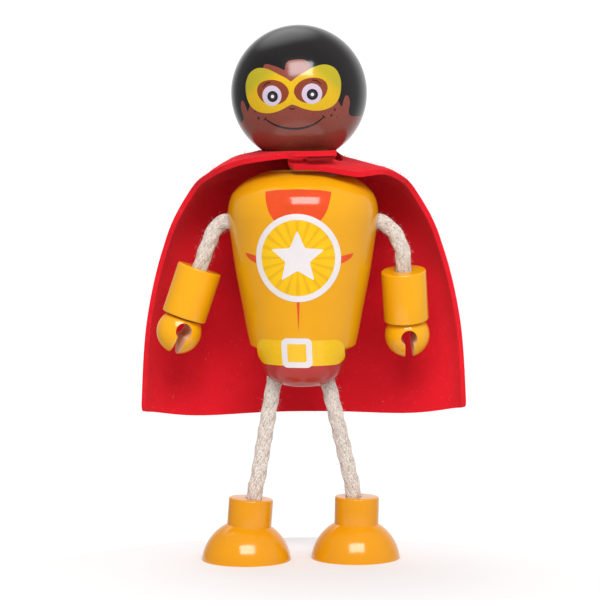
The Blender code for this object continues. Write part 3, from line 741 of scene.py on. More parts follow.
# %% Print the face
SOCKET = (16.8, 2.0)
SOCKET_HALF = (16.5, 12.5)
EYE = (17.0, -0.9)
PUPILS = ((-16.2, -1.5), (17.2, -1.5))
WHITE_HALF = (8.6, 8.4)
PUPIL_HALF = (4.7, 4.5)
IRIS_RING = ((3.0, 2.9), (2.2, 2.1))
GLINT_HALF = (1.45, 1.4)
LASH = ((17.4, 10.3), (21.4, 9.6), (25.3, 6.4))
NOSE = ((-2.8, -11.6), (-0.4, -12.8), (2.5, -12.1))
SMILE = (
    (-26.4, -19.9), (-22.4, -23.2), (-16.6, -26.6), (-9.5, -29.0), (-2.3, -30.2), (6, -30.3), (13.3, -29.0),
    (20.4, -26.2), (27.7, -20.9),
)
SMILE_TICKS = (
    ((-28.4, -21.6), (-26.4, -19.9), (-24.5, -18.8)),
    ((25.8, -19.3), (27.6, -20.6), (28.9, -21.9)),
)
FRECKLES = (
    (-33.5, -19.2, 1.2), (-35.9, -13.4, 0.7), (-36.6, -25.0, 0.5), (37.6, -15.1, 1.1), (34.8, -19.9, 1.1),
    (41.1, -21.4, 0.5),
)
FRECKLE_HEIGHT_SHARE = 0.95
LASH_WIDTHS = (1.15, 0.5)
NOSE_WIDTHS = (0.95, 0.35)
SMILE_WIDTHS = (1.9, 0.9)
TICK_WIDTHS = (0.9, 0.4)
SKIN_STEP_DEG = 2.5
PRINT_STEP_DEG = 2.0
FINE_STEP_DEG = 1


def face_print(name, shapes, layer, finish, step=FINE_STEP_DEG):
    """One colour of the face. A higher layer lies over a lower one."""
    paint(name, shapes, on_head, step, layer, finish, "head", head_place)


# Patches under the mask's eye holes, in the brown without painted sheen.
eye_sockets, eye_whites = (
    [[oval((side * middle[0], middle[1]), half)] for side in (-1, 1)]
    for middle, half in ((SOCKET, SOCKET_HALF), (EYE, WHITE_HALF))
)
rings = [[oval(middle, half, 32) for half in IRIS_RING] for middle in PUPILS]
lash = stroke(LASH, *LASH_WIDTHS)
marks = [[lash], [flipped(lash)], [stroke(NOSE, *NOSE_WIDTHS)]]
marks += [[oval((x, y), (r, r * FRECKLE_HEIGHT_SHARE), 20)] for x, y, r in FRECKLES]
# The face and neck are printed in the brown with painted sheen, and the eye holes under the mask in the brown
# without it.
face_print("face_brown", [[skin_outline()]], 1, painted_sheen_skin_ink, SKIN_STEP_DEG)
face_print("eye_sockets", eye_sockets, 2, eye_hole_ink_without_sheen, PRINT_STEP_DEG)
face_print("face_mask", [[mask, hole, flipped(hole)]], 3, ink_mask, PRINT_STEP_DEG)
face_print("eye_whites", eye_whites, 4, ink_eye_white, PRINT_STEP_DEG)
face_print("eye_pupils", [[oval(middle, PUPIL_HALF)] for middle in PUPILS], 5, ink_black)
face_print("eye_rings", rings, 6, ink_grey)
face_print("eye_glints", [[oval(middle, GLINT_HALF, 24)] for middle in PUPILS], 6, ink_white)
face_print("face_marks", marks, 3, ink_line)
face_print("face_smile", [[stroke(SMILE, *SMILE_WIDTHS)]], 3, ink_black)
face_print("face_smile_ends", [[stroke(tick, *TICK_WIDTHS)] for tick in SMILE_TICKS], 4, ink_black)

# %% [markdown]
# ## Body
# One turned block, widest at the chest, with a step above its lower end. The upper part is orange yellow and
# the part under the step is dipped maroon. The flat top is end grain, which soaks up its lacquer and stays
# matt. Radii between the measured ones come from a monotone curve, which never overshoots, so the step stays
# a step.

# %% Body outline
CHEST_RADIUS = 0.01670
BODY_OUTLINE_SHARES = (
    (0.300, 0.012), (0.430, 0.036), (0.520, 0.070), (0.570, 0.108), (0.600, 0.148), (0.618, 0.176),
    (0.700, 0.196), (0.716, 0.214), (0.806, 0.374), (0.892, 0.528), (0.958, 0.681), (0.990, 0.760),
    (1.000, 0.800), (0.988, 0.842), (0.943, 0.888), (0.874, 0.918), (0.754, 0.953), (0.611, 0.979),
    (0.449, 0.995), (0.300, 1.000),
)
BODY_FOOT_SHARES = ((0, 0), (0.10, 0.0014), (0.20, 0.0052))
BODY_ROWS = 8
MAROON_BELOW_SHARE = 0.180
TOP_ABOVE_SHARE = 0.980
heights = np.array([BODY_BOTTOM_Z + BODY_HEIGHT * h for _, h in BODY_OUTLINE_SHARES])
radii = np.array([CHEST_RADIUS * r for r, _ in BODY_OUTLINE_SHARES])


def monotone_slopes(x, y):
    """Slopes for a cubic through points that doesn't overshoot them."""
    gaps, rises = np.diff(x), np.diff(y) / np.diff(x)
    slopes = [rises[0]]
    for g0, g1, a, b in zip(gaps, gaps[1:], rises, rises[1:]):
        w0, w1 = 2 * g1 + g0, g1 + 2 * g0
        slopes.append(0 if a * b <= 0 else (w0 + w1) / (w0 / a + w1 / b))
    return np.array(slopes + [rises[-1]])


slopes = monotone_slopes(heights, radii)


def body_radius(z):
    """The body's radius at a height, and how fast it widens upwards."""
    k = int(np.clip(np.searchsorted(heights, z) - 1, 0, len(heights) - 2))
    gap = heights[k + 1] - heights[k]
    t = min(1, max(0, (z - heights[k]) / gap))
    a, b, p, q = radii[k], radii[k + 1], slopes[k] * gap, slopes[k + 1] * gap
    radius = a + p * t + (3 * (b - a) - 2 * p - q) * t ** 2 + (2 * (a - b) + p + q) * t ** 3
    widening = (p + 2 * (3 * (b - a) - 2 * p - q) * t + 3 * (2 * (a - b) + p + q) * t ** 2) / gap
    return float(radius), float(widening)


print("widest radius", round(float(max(radii)) * 1000, 2), "mm")

# %% [markdown]
# ## Cord routes
# A cord's line runs from the end in the body's bore to the end in the cuff or foot. It is a smooth line
# through a few points, and it can be measured along its length, because the joints sit at lengths of cord.

# %% Routes of the cords
ARM_ROUTE = {
    "right": (
        (-0.0076, 0, 0.0756), (-0.0160, 0, 0.0756), (-0.0183, 0, 0.0751), (-0.0196, 0, 0.0737),
        (-0.0204, 0, 0.0720), (-0.0213, 0, 0.0698), (-0.0221, 0, 0.0676), (-0.0229, 0, 0.0652),
        (-0.0248, 0, 0.0595),
    ),
    "left": (
        (0.0076, 0, 0.0756), (0.0160, 0, 0.0756), (0.0180, 0, 0.0751), (0.0196, -0.0002, 0.0738),
        (0.0208, -0.0004, 0.0721), (0.0217, -0.0006, 0.0701), (0.0222, -0.0005, 0.0677),
        (0.0223, 0, 0.0647), (0.0227, 0.0011, 0.0588),
    ),
}
LEG_ROUTE = {
    "right": (
        (-0.00470, 0, 0.0508), (-0.00645, 0, 0.0398), (-0.00735, 0, 0.0345), (-0.00870, 0, 0.0265),
        (-0.01000, -0.0003, 0.0186), (-0.01075, -0.0004, 0.0152), (-0.01200, -0.0006, 0.0054),
    ),
    "left": (
        (0.00300, 0, 0.0508), (0.00555, 0, 0.0398), (0.00680, 0.0002, 0.0345), (0.00870, 0.0008, 0.0265),
        (0.01050, 0.0014, 0.0186), (0.01115, 0.0016, 0.0154), (0.01210, 0.0018, 0.0054),
    ),
}
SIDE_NAMES = ("right", "left")


class Route:
    """A smooth line through points, measured along its length. It runs on straight past both ends."""

    def __init__(self, points):
        self.points = curve_through(points, 12)
        self.lengths = [0]
        for a, b in zip(self.points, self.points[1:]):
            self.lengths.append(self.lengths[-1] + (b - a).length)
        self.total = self.lengths[-1]

    def at(self, s):
        """The point and the direction at length s."""
        k = int(np.clip(np.searchsorted(self.lengths, s) - 1, 0, len(self.lengths) - 2))
        a, b = self.points[k], self.points[k + 1]
        share = (s - self.lengths[k]) / (self.lengths[k + 1] - self.lengths[k])
        before, after = self.points[max(k - 1, 0)], self.points[min(k + 2, len(self.points) - 1)]
        return a.lerp(b, share), (after - before).normalized()

    def nearest(self, place):
        """The length at which the route passes a place in the frame."""
        place = DOLL.inverted() @ Vector(place)
        return self.lengths[min(range(len(self.points)), key=lambda i: (self.points[i] - place).length)]


arm_route = {side: Route(points) for side, points in ARM_ROUTE.items()}
leg_route = {side: Route(points) for side, points in LEG_ROUTE.items()}
pivot = {joint["name"]: Vector(joint["pos_m"]) for joint in frame["joints"]}
for side in SIDE_NAMES:
    arm, leg = (round(routes[side].total * 1000, 1) for routes in (arm_route, leg_route))
    print(side, "arm", arm, "leg", leg, "mm")

# %% [markdown]
# ## Bare wood and soft iron
# Bare beech shows where a piece was sawn or drilled after it was lacquered, and on the neck dowel. The wire
# in the cords is soft annealed iron. It can't be seen, but it gets its own finish, as every solid does.

# %% Bare wood and soft iron
WOOD_GRAIN = 0.0005
WIRE_GRAIN = 0.0002


def bare_beech(name, tint, dark_tint):
    """Sawn and drilled beech: matt, pinkish, with short dark flecks along the grain."""
    made, tree, shader, place = new_material(name, tint, 0.7)
    # The grain runs up the block, so the noise is stretched five times along Z.
    stretched = add(tree, "ShaderNodeMapping", {"Vector": place, "Scale": (1, 1, 0.2)}).outputs["Vector"]
    grain = add(tree, "ShaderNodeTexNoise", {"Vector": stretched, "Scale": 1 / WOOD_GRAIN, "Detail": 4.0})
    sockets = {"Value": grain.outputs["Fac"], "From Min": 0.35, "From Max": 0.65}
    share = add(tree, "ShaderNodeMapRange", sockets).outputs["Result"]
    mixed = add(tree, "ShaderNodeMix", {0: share, 6: colour(dark_tint), 7: colour(tint)}, data_type="RGBA")
    tree.links.new(mixed.outputs[2], shader.inputs["Base Color"])
    bump = add(tree, "ShaderNodeBump", {"Strength": 0.4, "Distance": 0.0001, "Height": grain.outputs["Fac"]})
    tree.links.new(bump.outputs["Normal"], shader.inputs["Normal"])
    return made


def drawn_iron(name):
    """Soft annealed iron wire: a dull grey metal with a patchy grey scale on it."""
    made, tree, shader, place = new_material(name, "8C8A86", 0.45)
    scale = add(tree, "ShaderNodeTexNoise", {"Vector": place, "Scale": 1 / WIRE_GRAIN, "Detail": 3.0})
    sockets = {0: scale.outputs["Fac"], 6: colour("7A7874"), 7: colour("9A9894")}
    mixed = add(tree, "ShaderNodeMix", sockets, data_type="RGBA")
    tree.links.new(mixed.outputs[2], shader.inputs["Base Color"])
    shader.inputs["Metallic"].default_value = 1
    return made


beech = bare_beech("sawn_beech", "C99774", "AE7A58")
# Thin lacquer stains sawn beech paler, and this tint is lighter still: painted light, for the light that
# reaches into the keyhole.
lacquer_stain_and_painted_light_beech = bare_beech("sawn_beech_stained_by_lacquer", "E8BE9C", "D6A684")
iron = drawn_iron("drawn_soft_iron")
for name, node in frame["nodes"].items():
    finish = iron if name.endswith("_wire") else beech if name == "neck_dowel" else None
    if finish:
        node.data.materials.clear()
        node.data.materials.append(finish)
print("wires and dowel finished")

# %% [markdown]
# ## Turn and drill the body
# The block is turned from its outline, and each face gets its colour by its height. The drills follow the
# cords' lines, so the bores stay true to the cords.

# %% Body block
CORD_BORE_RADIUS = 0.00188
ARM_BORE_DEPTH = 0.0090
LEG_BORE_DEPTH = 0.0120
SEAT = 0.0003
OVERRUN = 0.004
DOWEL_IN_BODY = 0.0090

outline = [(CHEST_RADIUS * r, BODY_BOTTOM_Z + BODY_HEIGHT * h) for r, h in BODY_FOOT_SHARES]
for low, high in zip(heights, heights[1:]):
    levels = [low + (high - low) * i / BODY_ROWS for i in range(BODY_ROWS)]
    outline += [(body_radius(z)[0], z) for z in levels]
outline += [(radii[-1], heights[-1]), (0, heights[-1])]
bm = turned(outline)
for face in bm.faces:
    share = (face.calc_center_median().z - BODY_BOTTOM_Z) / BODY_HEIGHT
    face.material_index = 3 if share > TOP_ABOVE_SHARE else int(share < MAROON_BELOW_SHARE)
body = piece("body_block", bm, [body_yellow, low_maroon, beech, top_yellow])
bores = []
for routes, depth in ((arm_route, ARM_BORE_DEPTH), (leg_route, LEG_BORE_DEPTH)):
    for side in SIDE_NAMES:
        start, out = routes[side].at(0)
        bore = rod(CORD_BORE_RADIUS, -SEAT, depth + OVERRUN)
        bore.transform(aim(out, start))
        bores.append(bore)
bore = rod(DOWEL_BORE_RADIUS, -DOWEL_IN_BODY - SEAT, OVERRUN)
bore.transform(DOLL.inverted() @ neck)
bores.append(bore)
cut(body, bores, 2)
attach(body, "torso")
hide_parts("body")

# %% [markdown]
# ## Chest and belt prints
# The chest marks and the belt were printed square to the front, so their flat outlines are laid straight back
# onto the round block. A plain star fills the ring, over plain rays. The prints are turned a little to the
# doll's right. The belt and its buckle run over the step, so their triangles are smaller.

# %% From a flat print to the round block
MM = 0.001
PRINT_TURN_DEG = -4.5
STEP_FILL = ((45.2, 9.85), (48.25, 11.70))
FILL_DEPTH = 0.0009
BELT_LIFT = 0.00004
CONE_WIDENING = 0.27
print_place = DOLL @ Matrix.Rotation(math.radians(PRINT_TURN_DEG), 4, "Z")


def on_turned(across, up, radius, widening):
    """The place and the way out at a point of the print, on a turned surface of that radius and slope."""
    around = math.asin(across * MM / radius)
    point = Vector((across * MM, -radius * math.cos(around), up * MM))
    return point, Vector((math.sin(around), -math.cos(around), -widening)).normalized()


def on_chest(across, up):
    """Straight back onto the block."""
    return on_turned(across, up, *body_radius(up * MM))


def on_step(across, up):
    """As on_chest, but straight over the step, where the belt's ink has filled the corner."""
    (z0, r0), (z1, r1) = STEP_FILL
    radius = body_radius(up * MM)[0]
    if z0 < up < z1:
        radius = max(radius, (r0 + (r1 - r0) * (up - z0) / (z1 - z0)) * MM)
    return on_turned(across, up, radius + BELT_LIFT, CONE_WIDENING)


print("prints are turned", PRINT_TURN_DEG, "degrees")

# %% Chest outlines, in millimetres across and up
RING_MIDDLE = (0.0, 68.43)
RING_OUTER = (9.22, 9.65)
RING_INNER = (8.00, 8.33)
RING_POINTS = 96
DISC_MARGIN = 0.4
NECKLINE_SIDE = ((7.15, 82.72), (7.0, 81.1), (6.5, 79.1), (5.9, 77.8), (5.1, 76.7), (4.2, 75.6))
NECKLINE_TOP = ((-7.15, 82.72), (-4.6, 83.12), (0, 83.3), (4.6, 83.12), (7.15, 82.72))
PEC_UPPER = ((8.6, 68.6), (9.3, 68.72), (10.2, 68.95), (11.1, 69.15), (11.86, 69.28))
PEC_LOWER = ((11.4, 68.36), (10.4, 67.62), (9.3, 67.12), (8.6, 66.95))
WEDGE = ((-0.36, 59.4), (0.36, 59.4), (0.2, 55.5), (0.0, 52.1), (-0.16, 55.5))
STAR_TIPS = 5
STAR_RADII = (6.1, 2.75)
STAR_STEP = 1.3
STAR_ROUNDING = 2
RAYS = 20
RAY = (2.0, 8.1, 0.16)
RAY_STEP = 0.5
NECKLINE_STEP = 0.6
BUCKLE_MIDDLE = (-0.5, 47.33)
BUCKLE_OUTER = (3.33, 3.38, 1.2)
BUCKLE_INNER = (2.09, 2.08, 0.3)
BELT = ((0, 47.3), (9.66, 2.95), 2.1)


def soften(line, times):
    """Cuts the corners of a closed outline, which rounds them."""
    for _ in range(times):
        line = [p.lerp(q, share) for p, q in zip(line, line[1:] + line[:1]) for share in (0.25, 0.75)]
    return line


def star():
    """A plain five-pointed star with rounded tips, which reach the first radius."""
    points = []
    for i in range(2 * STAR_TIPS):
        turn, radius = math.pi * i / STAR_TIPS, STAR_RADII[i % 2]
        points.append((radius * math.sin(turn), radius * math.cos(turn)))
    return moved(soften(densely_closed(points, STAR_STEP), STAR_ROUNDING), *RING_MIDDLE)


def ray(i):
    """One of the thin rays behind the star."""
    start, end, half = RAY
    turns = [math.tau * (i + share) / RAYS for share in (-half, half)]
    corners = [(start, turns[0]), (end, turns[0]), (end, turns[1]), (start, turns[1])]
    line = [(r * math.sin(a) + RING_MIDDLE[0], r * math.cos(a) + RING_MIDDLE[1]) for r, a in corners]
    return densely_closed(line, RAY_STEP)


def neckline():
    """The orange collar: a shallow top edge, two curved sides and a straight lower edge."""
    side = curve_through(NECKLINE_SIDE, 5)
    x, y = NECKLINE_SIDE[-1]
    top, low = (densely(line, NECKLINE_STEP) for line in (NECKLINE_TOP, ((x, y), (-x, y))))
    return top[:-1] + side[:-1] + low[:-1] + flipped(side)[:-1]


def plate(centre, half_sides, corner, steps=8):
    """A rectangle with round corners."""
    line = []
    for i, (x, y) in enumerate(((1, 1), (-1, 1), (-1, -1), (1, -1))):
        middle = Vector([c + s * (half - corner) for c, s, half in zip(centre, (x, y), half_sides)])
        turns = [math.radians(90 * i + 90 * k / steps) for k in range(steps + 1)]
        line += [middle + Vector((math.cos(a), math.sin(a))) * corner for a in turns]
    return line


print("star outline", len(star()), "points, neckline", len(neckline()), "points")

# %% Print the chest and the belt
CHEST_STEP = 0.5
BELT_STEP = 0.25
WEDGE_SPACING = 0.4
BELT_SPACING = 0.5
BUCKLE_SPACING = 0.3


def chest_print(name, shapes, layer, finish):
    """One colour of the chest. A higher layer lies over a lower one."""
    paint(name, shapes, on_chest, CHEST_STEP, layer, finish, "torso", print_place)


pec = curve_through(PEC_UPPER, 4) + curve_through(PEC_LOWER, 4)
disc, ring_outer, ring_inner = (
    oval(RING_MIDDLE, half_sides, RING_POINTS)
    for half_sides in ([r - DISC_MARGIN for r in RING_OUTER], RING_OUTER, RING_INNER)
)
wedge = densely_closed(WEDGE, WEDGE_SPACING)
chest_print("chest_orange", [[neckline()], [pec], [flipped(pec)], [wedge]], 1, ink_orange)
chest_print("chest_disc", [[disc]], 2, ink_belt)
chest_print("chest_rays", [[ray(i)] for i in range(RAYS)], 3, ink_ray)
chest_print("chest_ring", [[ring_outer, ring_inner]], 4, ink_white)
chest_print("chest_star", [[star()]], 4, ink_white)
belt = densely_closed(plate(*BELT), BELT_SPACING)
paint("belt", [[belt]], on_step, BELT_STEP, 1, ink_belt, "torso", print_place, FILL_DEPTH)
buckle = [densely_closed(plate(BUCKLE_MIDDLE, (across, up), corner), BUCKLE_SPACING)
          for across, up, corner in (BUCKLE_OUTER, BUCKLE_INNER)]
paint("belt_buckle", [buckle], on_step, BELT_STEP, 2, ink_white, "torso", print_place)

# %% [markdown]
# ## Cuffs, hands and feet
# A cuff is a bored cylinder. A hand is a ball with a flat top on a spigot, with a keyhole cut through it to
# grip things, which leaves bare wood inside. A foot is half a ball with a stem, sawn flat.

# %% Outlines of a cuff and a hand
CUFF_RADIUS = 0.0050
CUFF_LENGTH = 0.0114
EDGE_ROUND = 0.00035
HAND_RADIUS = 0.0050
HAND_STEPS = 44
HAND_TOP_HEIGHT = 0.0031
HAND_SHOULDER = 0.0002
HAND_SHOULDER_DEG = 2
HAND_GAP = 0.0003
SPIGOT_RADIUS = 0.0020
SPIGOT_LENGTH = 0.0042
GRIP_RADIUS = 0.0018
GRIP_RISE = {"right": 0.0007, "left": 0.0003}
GRIP_SLOT = 0.00195
GRIP_STEPS = 40
HAND_TURN_DEG = {"right": 14, "left": 3}
SMALL_SIDES = 96
EDGE_STEPS = 5


def cuff_outline():
    """A tube with rounded outer edges and a small chamfer at each end of the bore."""
    edge, low, high = EDGE_ROUND, 0, CUFF_LENGTH
    line = [(CORD_BORE_RADIUS, low + edge / 2), (CORD_BORE_RADIUS, high - edge / 2)]
    line += arc(edge, high - edge, 90, 0, EDGE_STEPS, CUFF_RADIUS - edge)
    line += arc(edge, low + edge, 0, -90, EDGE_STEPS, CUFF_RADIUS - edge)
    return [(CORD_BORE_RADIUS + edge / 2, low)] + line[:2] + [(CORD_BORE_RADIUS + edge / 2, high)] + line[2:]


def hand_outline():
    """A ball from its lowest point up to its flat top, and the spigot on it."""
    top = HAND_TOP_HEIGHT
    top_deg = math.degrees(math.asin(top / HAND_RADIUS))
    tip = top + HAND_GAP + SPIGOT_LENGTH
    line = [(0, -HAND_RADIUS)] + arc(HAND_RADIUS, 0, -90, top_deg - HAND_SHOULDER_DEG, HAND_STEPS)[1:]
    return line + [(line[-1][0] - HAND_SHOULDER, top), (SPIGOT_RADIUS, top), (SPIGOT_RADIUS, tip), (0, tip)]


def keyhole(rise):
    """The cutter of the grip: a round hole with a slot down from it, through the whole hand."""
    half = math.degrees(math.asin(GRIP_SLOT / 2 / GRIP_RADIUS))
    reach = HAND_RADIUS + OVERRUN
    line = arc(GRIP_RADIUS, rise, -90 + half, 270 - half, GRIP_STEPS)
    line += [(-GRIP_SLOT / 2, -reach), (GRIP_SLOT / 2, -reach)]
    return skin([[Vector((x, y, z)) for x, z in line] for y in (-reach, reach)])


print("hand outline", len(hand_outline()), "points")

# %% Cuffs and hands
for side in SIDE_NAMES:
    mouth, end = (Vector(p) for p in ARM_ROUTE[side][-2:])
    down = (end - mouth).normalized()
    foot_end = mouth + down * CUFF_LENGTH
    cuff = piece(f"{side}_cuff_turned", turned(cuff_outline(), SMALL_SIDES, looped=True), [cuff_yellow],
                 DOLL @ aim(-down, foot_end))
    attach(cuff, f"{side}_forearm")
    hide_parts(f"{side}_cuff")
    centre = foot_end + down * (HAND_GAP + HAND_TOP_HEIGHT)
    place = aim(-down, centre) @ Matrix.Rotation(math.radians(HAND_TURN_DEG[side]), 4, "Z")
    hand = piece(f"{side}_hand_turned", turned(hand_outline(), SMALL_SIDES), [cuff_yellow, lacquer_stain_and_painted_light_beech],
                 DOLL @ place)
    grip = keyhole(GRIP_RISE[side])
    grip.transform(place)
    # The grip's walls take the stained beech with painted light.
    cut(hand, [grip], 1)
    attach(hand, f"{side}_hand")
    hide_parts(f"{side}_hand")

# %% Feet
FOOT_RADIUS = 0.0100
FOOT_STEPS = 80
FOOT_CUT = 0.0010
STEM_RADIUS = 0.00495
STEM_TOP_Z = 0.0138
FOOT_BORE_DEPTH = 0.0090
FOOT_PLACE = {"right": (-0.01265, -0.0006), "left": (0.01180, 0.0018)}
FOOT_LEAN_DEG = {"right": 4.2, "left": 1.2}


def foot_outline():
    """A ball with a stem on it. The saw takes off its lowest part afterwards."""
    stem_deg = math.degrees(math.acos(STEM_RADIUS / FOOT_RADIUS))
    top, edge = STEM_TOP_Z + FOOT_CUT, EDGE_ROUND
    line = [(0, -FOOT_RADIUS)] + arc(FOOT_RADIUS, 0, -90, stem_deg, FOOT_STEPS)[1:]
    line += arc(edge, top - edge, 0, 90, EDGE_STEPS, STEM_RADIUS - edge)
    return line + [(0, top)]


for side in SIDE_NAMES:
    x, y = FOOT_PLACE[side]
    bm = turned(foot_outline())
    lean = Matrix.Rotation(math.radians(FOOT_LEAN_DEG[side]), 4, "Y")
    bm.transform(Matrix.Translation((x, y, -FOOT_CUT)) @ lean)
    everything = bm.verts[:] + bm.edges[:] + bm.faces[:]
    saw = {"plane_co": (0, 0, 0), "plane_no": (0, 0, 1), "clear_inner": True}
    sawn = bmesh.ops.bisect_plane(bm, geom=everything, **saw)
    rim = [e for e in sawn["geom_cut"] if isinstance(e, bmesh.types.BMEdge)]
    sole = bmesh.ops.contextual_create(bm, geom=rim)["faces"]
    for face in sole:
        face.material_index = 1
    foot = piece(f"{side}_foot_turned", bm, [foot_yellow, beech])
    end, down = leg_route[side].at(leg_route[side].total)
    bore = rod(CORD_BORE_RADIUS, -SEAT, FOOT_BORE_DEPTH + OVERRUN)
    bore.transform(aim(-down, end))
    cut(foot, [bore], 1)
    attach(foot, f"{side}_foot")
    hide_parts(f"{side}_foot")

# %% [markdown]
# ## Cotton and felt
# The cords are cotton yarn, bleached but not bright, and each yarn is twisted from plies. The cape is
# wool-like felt, needled from short red fibres. Both are matt and scatter light at their edges, which is what
# sheen is for. On the cords the pattern follows each yarn, by attributes that the braid stores on it.

# %% Cotton yarn
PLY_PITCH = 0.0009
PLY_SHARE = 0.06
COTTON_FLECKS_PER_METRE = 2600.0
YARN_GROOVE = 0.00008


def cotton_yarn(name, tint, dark_tint):
    """Plied cotton yarn: soft, matt, with a slanting groove between the plies and stray grey fibres."""
    made, tree, shader, place = new_material(name, tint, 0.95)
    # The ply's groove is where the way round the yarn and the length along it turn in step.
    along = add(tree, "ShaderNodeAttribute", attribute_name="along").outputs["Fac"]
    turn = add(tree, "ShaderNodeMath", {0: along, 1: math.tau / PLY_PITCH}, operation="MULTIPLY").outputs[0]
    ply = 0.0
    for stored, operation in (("round_cos", "COSINE"), ("round_sin", "SINE")):
        around = add(tree, "ShaderNodeAttribute", attribute_name=stored).outputs["Fac"]
        turned_share = add(tree, "ShaderNodeMath", {0: turn}, operation=operation).outputs[0]
        sockets = {0: turned_share, 1: around, 2: ply}
        ply = add(tree, "ShaderNodeMath", sockets, operation="MULTIPLY_ADD").outputs[0]
    sockets = {"Vector": place, "Scale": COTTON_FLECKS_PER_METRE, "Detail": 4.0, "Distortion": 1.0}
    fibre = add(tree, "ShaderNodeTexNoise", sockets)
    # The groove between plies also darkens the colour a little: painted shade in the groove. The rest of the
    # darker tone is random grey fibres.
    sockets = {0: ply, 1: PLY_SHARE, 2: fibre.outputs["Fac"]}
    height = add(tree, "ShaderNodeMath", sockets, operation="MULTIPLY_ADD")
    sockets = {"Value": height.outputs[0], "From Min": 0.30, "From Max": 0.62}
    share = add(tree, "ShaderNodeMapRange", sockets).outputs["Result"]
    mixed = add(tree, "ShaderNodeMix", {0: share, 6: colour(dark_tint), 7: colour(tint)}, data_type="RGBA")
    tree.links.new(mixed.outputs[2], shader.inputs["Base Color"])
    sockets = {"Strength": 0.5, "Distance": YARN_GROOVE, "Height": height.outputs[0]}
    bump = add(tree, "ShaderNodeBump", sockets)
    tree.links.new(bump.outputs["Normal"], shader.inputs["Normal"])
    shader.inputs["Specular IOR Level"].default_value = 0.15
    shader.inputs["Sheen Weight"].default_value = 0.1
    shader.inputs["Sheen Roughness"].default_value = 0.5
    return made


cotton = cotton_yarn("braided_cotton", "DFD4CB", "A99C92")
print(cotton.name, len(cotton.node_tree.nodes), "nodes")

# %% Felt
FIBRE = 0.00022
LINT = 0.0011
CLOUD = 0.009
FELT_TOOTH = 0.00018
LIGHT_REACH = 0.0012


def needled_felt(name, tint, deep_tint, lint_tint):
    """Needled felt: a mat of fine fibres, with a cloudy thickness and lighter specks of lint on it."""
    made, tree, shader, place = new_material(name, tint, 0.95)
    sockets = {"Vector": place, "Scale": 1 / FIBRE, "Detail": 5.0, "Roughness": 0.65, "Distortion": 2.2}
    fibre = add(tree, "ShaderNodeTexNoise", sockets).outputs["Fac"]
    sockets = {"Vector": place, "Scale": 1 / CLOUD, "Detail": 4.0}
    cloud = add(tree, "ShaderNodeTexNoise", sockets).outputs["Fac"]
    both = add(tree, "ShaderNodeMath", {0: cloud, 1: 0.6, 2: fibre}, operation="MULTIPLY_ADD").outputs[0]
    sockets = {"Value": both, "From Min": 0.6, "From Max": 1.0}
    share = add(tree, "ShaderNodeMapRange", sockets).outputs["Result"]
    sockets = {0: share, 6: colour(deep_tint), 7: colour(tint)}
    mixed = add(tree, "ShaderNodeMix", sockets, data_type="RGBA")
    sockets = {"Vector": place, "Scale": 1 / LINT, "Detail": 3.0, "Distortion": 3.0}
    speck = add(tree, "ShaderNodeTexNoise", sockets).outputs["Fac"]
    sockets = {"Value": speck, "From Min": 0.66, "From Max": 0.78, "To Max": 0.55}
    lint = add(tree, "ShaderNodeMapRange", sockets).outputs["Result"]
    sockets = {0: lint, 6: mixed.outputs[2], 7: colour(lint_tint)}
    dotted = add(tree, "ShaderNodeMix", sockets, data_type="RGBA")
    tree.links.new(dotted.outputs[2], shader.inputs["Base Color"])
    bump = add(tree, "ShaderNodeBump", {"Strength": 0.55, "Distance": FELT_TOOTH, "Height": both})
    tree.links.new(bump.outputs["Normal"], shader.inputs["Normal"])
    shader.inputs["Specular IOR Level"].default_value = 0.1
    shader.inputs["Sheen Weight"].default_value = 0.25
    shader.inputs["Sheen Roughness"].default_value = 0.55
    shader.inputs["Sheen Tint"].default_value = colour("FF7A78")
    # Felt is thin and open, so the white room behind it shines a little way through.
    shader.inputs["Subsurface Weight"].default_value = 0.25
    shader.inputs["Subsurface Radius"].default_value = (1.0, 0.15, 0.12)
    shader.inputs["Subsurface Scale"].default_value = LIGHT_REACH
    return made


felt = needled_felt("needled_red_felt", "E01828", "C81422", "F08088")
tape = needled_felt("woven_red_tape", "A8161F", "8E1219", "B83A40")
for finish in (felt, tape):
    print(finish.name, len(finish.node_tree.nodes), "nodes")

# %% [markdown]
# ## Fuzz
# Fibres stand out of cotton and felt, and against a white background they soften the outline. One small tree
# of Geometry Nodes scatters bent hairs over any surface. It is used twice: inside the braid's tree, and alone
# for the nap of the cape. A hair has nine faces, because there are thousands of them.

# %% A tree that grows hairs on a surface
def new_tree(name, wanted):
    """A Geometry Nodes tree with named inputs, its input node, and one geometry output."""
    tree = bpy.data.node_groups.new(name, "GeometryNodeTree")
    for label, kind, value in wanted:
        socket = tree.interface.new_socket(label, in_out="INPUT", socket_type=kind)
        if value is not None:
            socket.default_value = value
    tree.interface.new_socket("Geometry", in_out="OUTPUT", socket_type="NodeSocketGeometry")
    return tree, tree.nodes.new("NodeGroupInput").outputs


def run_tree(made, tree, **values):
    """Runs a tree on an object, and leaves its result as the object's plain mesh."""
    modifier = made.modifiers.new(tree.name, "NODES")
    modifier.node_group = tree
    for item in tree.interface.items_tree:
        key = item.name.lower().replace(" ", "_")
        if item.in_out == "INPUT" and key in values:
            modifier[item.identifier] = values[key]
    return bake_modifiers(made)


REAL, WHOLE, GEOMETRY = "NodeSocketFloat", "NodeSocketInt", "NodeSocketGeometry"
HAIR_SHAPE = {"Resolution": 3, "Start": (0, 0, 0), "Middle": (0, 0, 0.6), "End": (0.45, 0, 0.8)}
LEAN_SEED = 7
LENGTH_SEED = 11


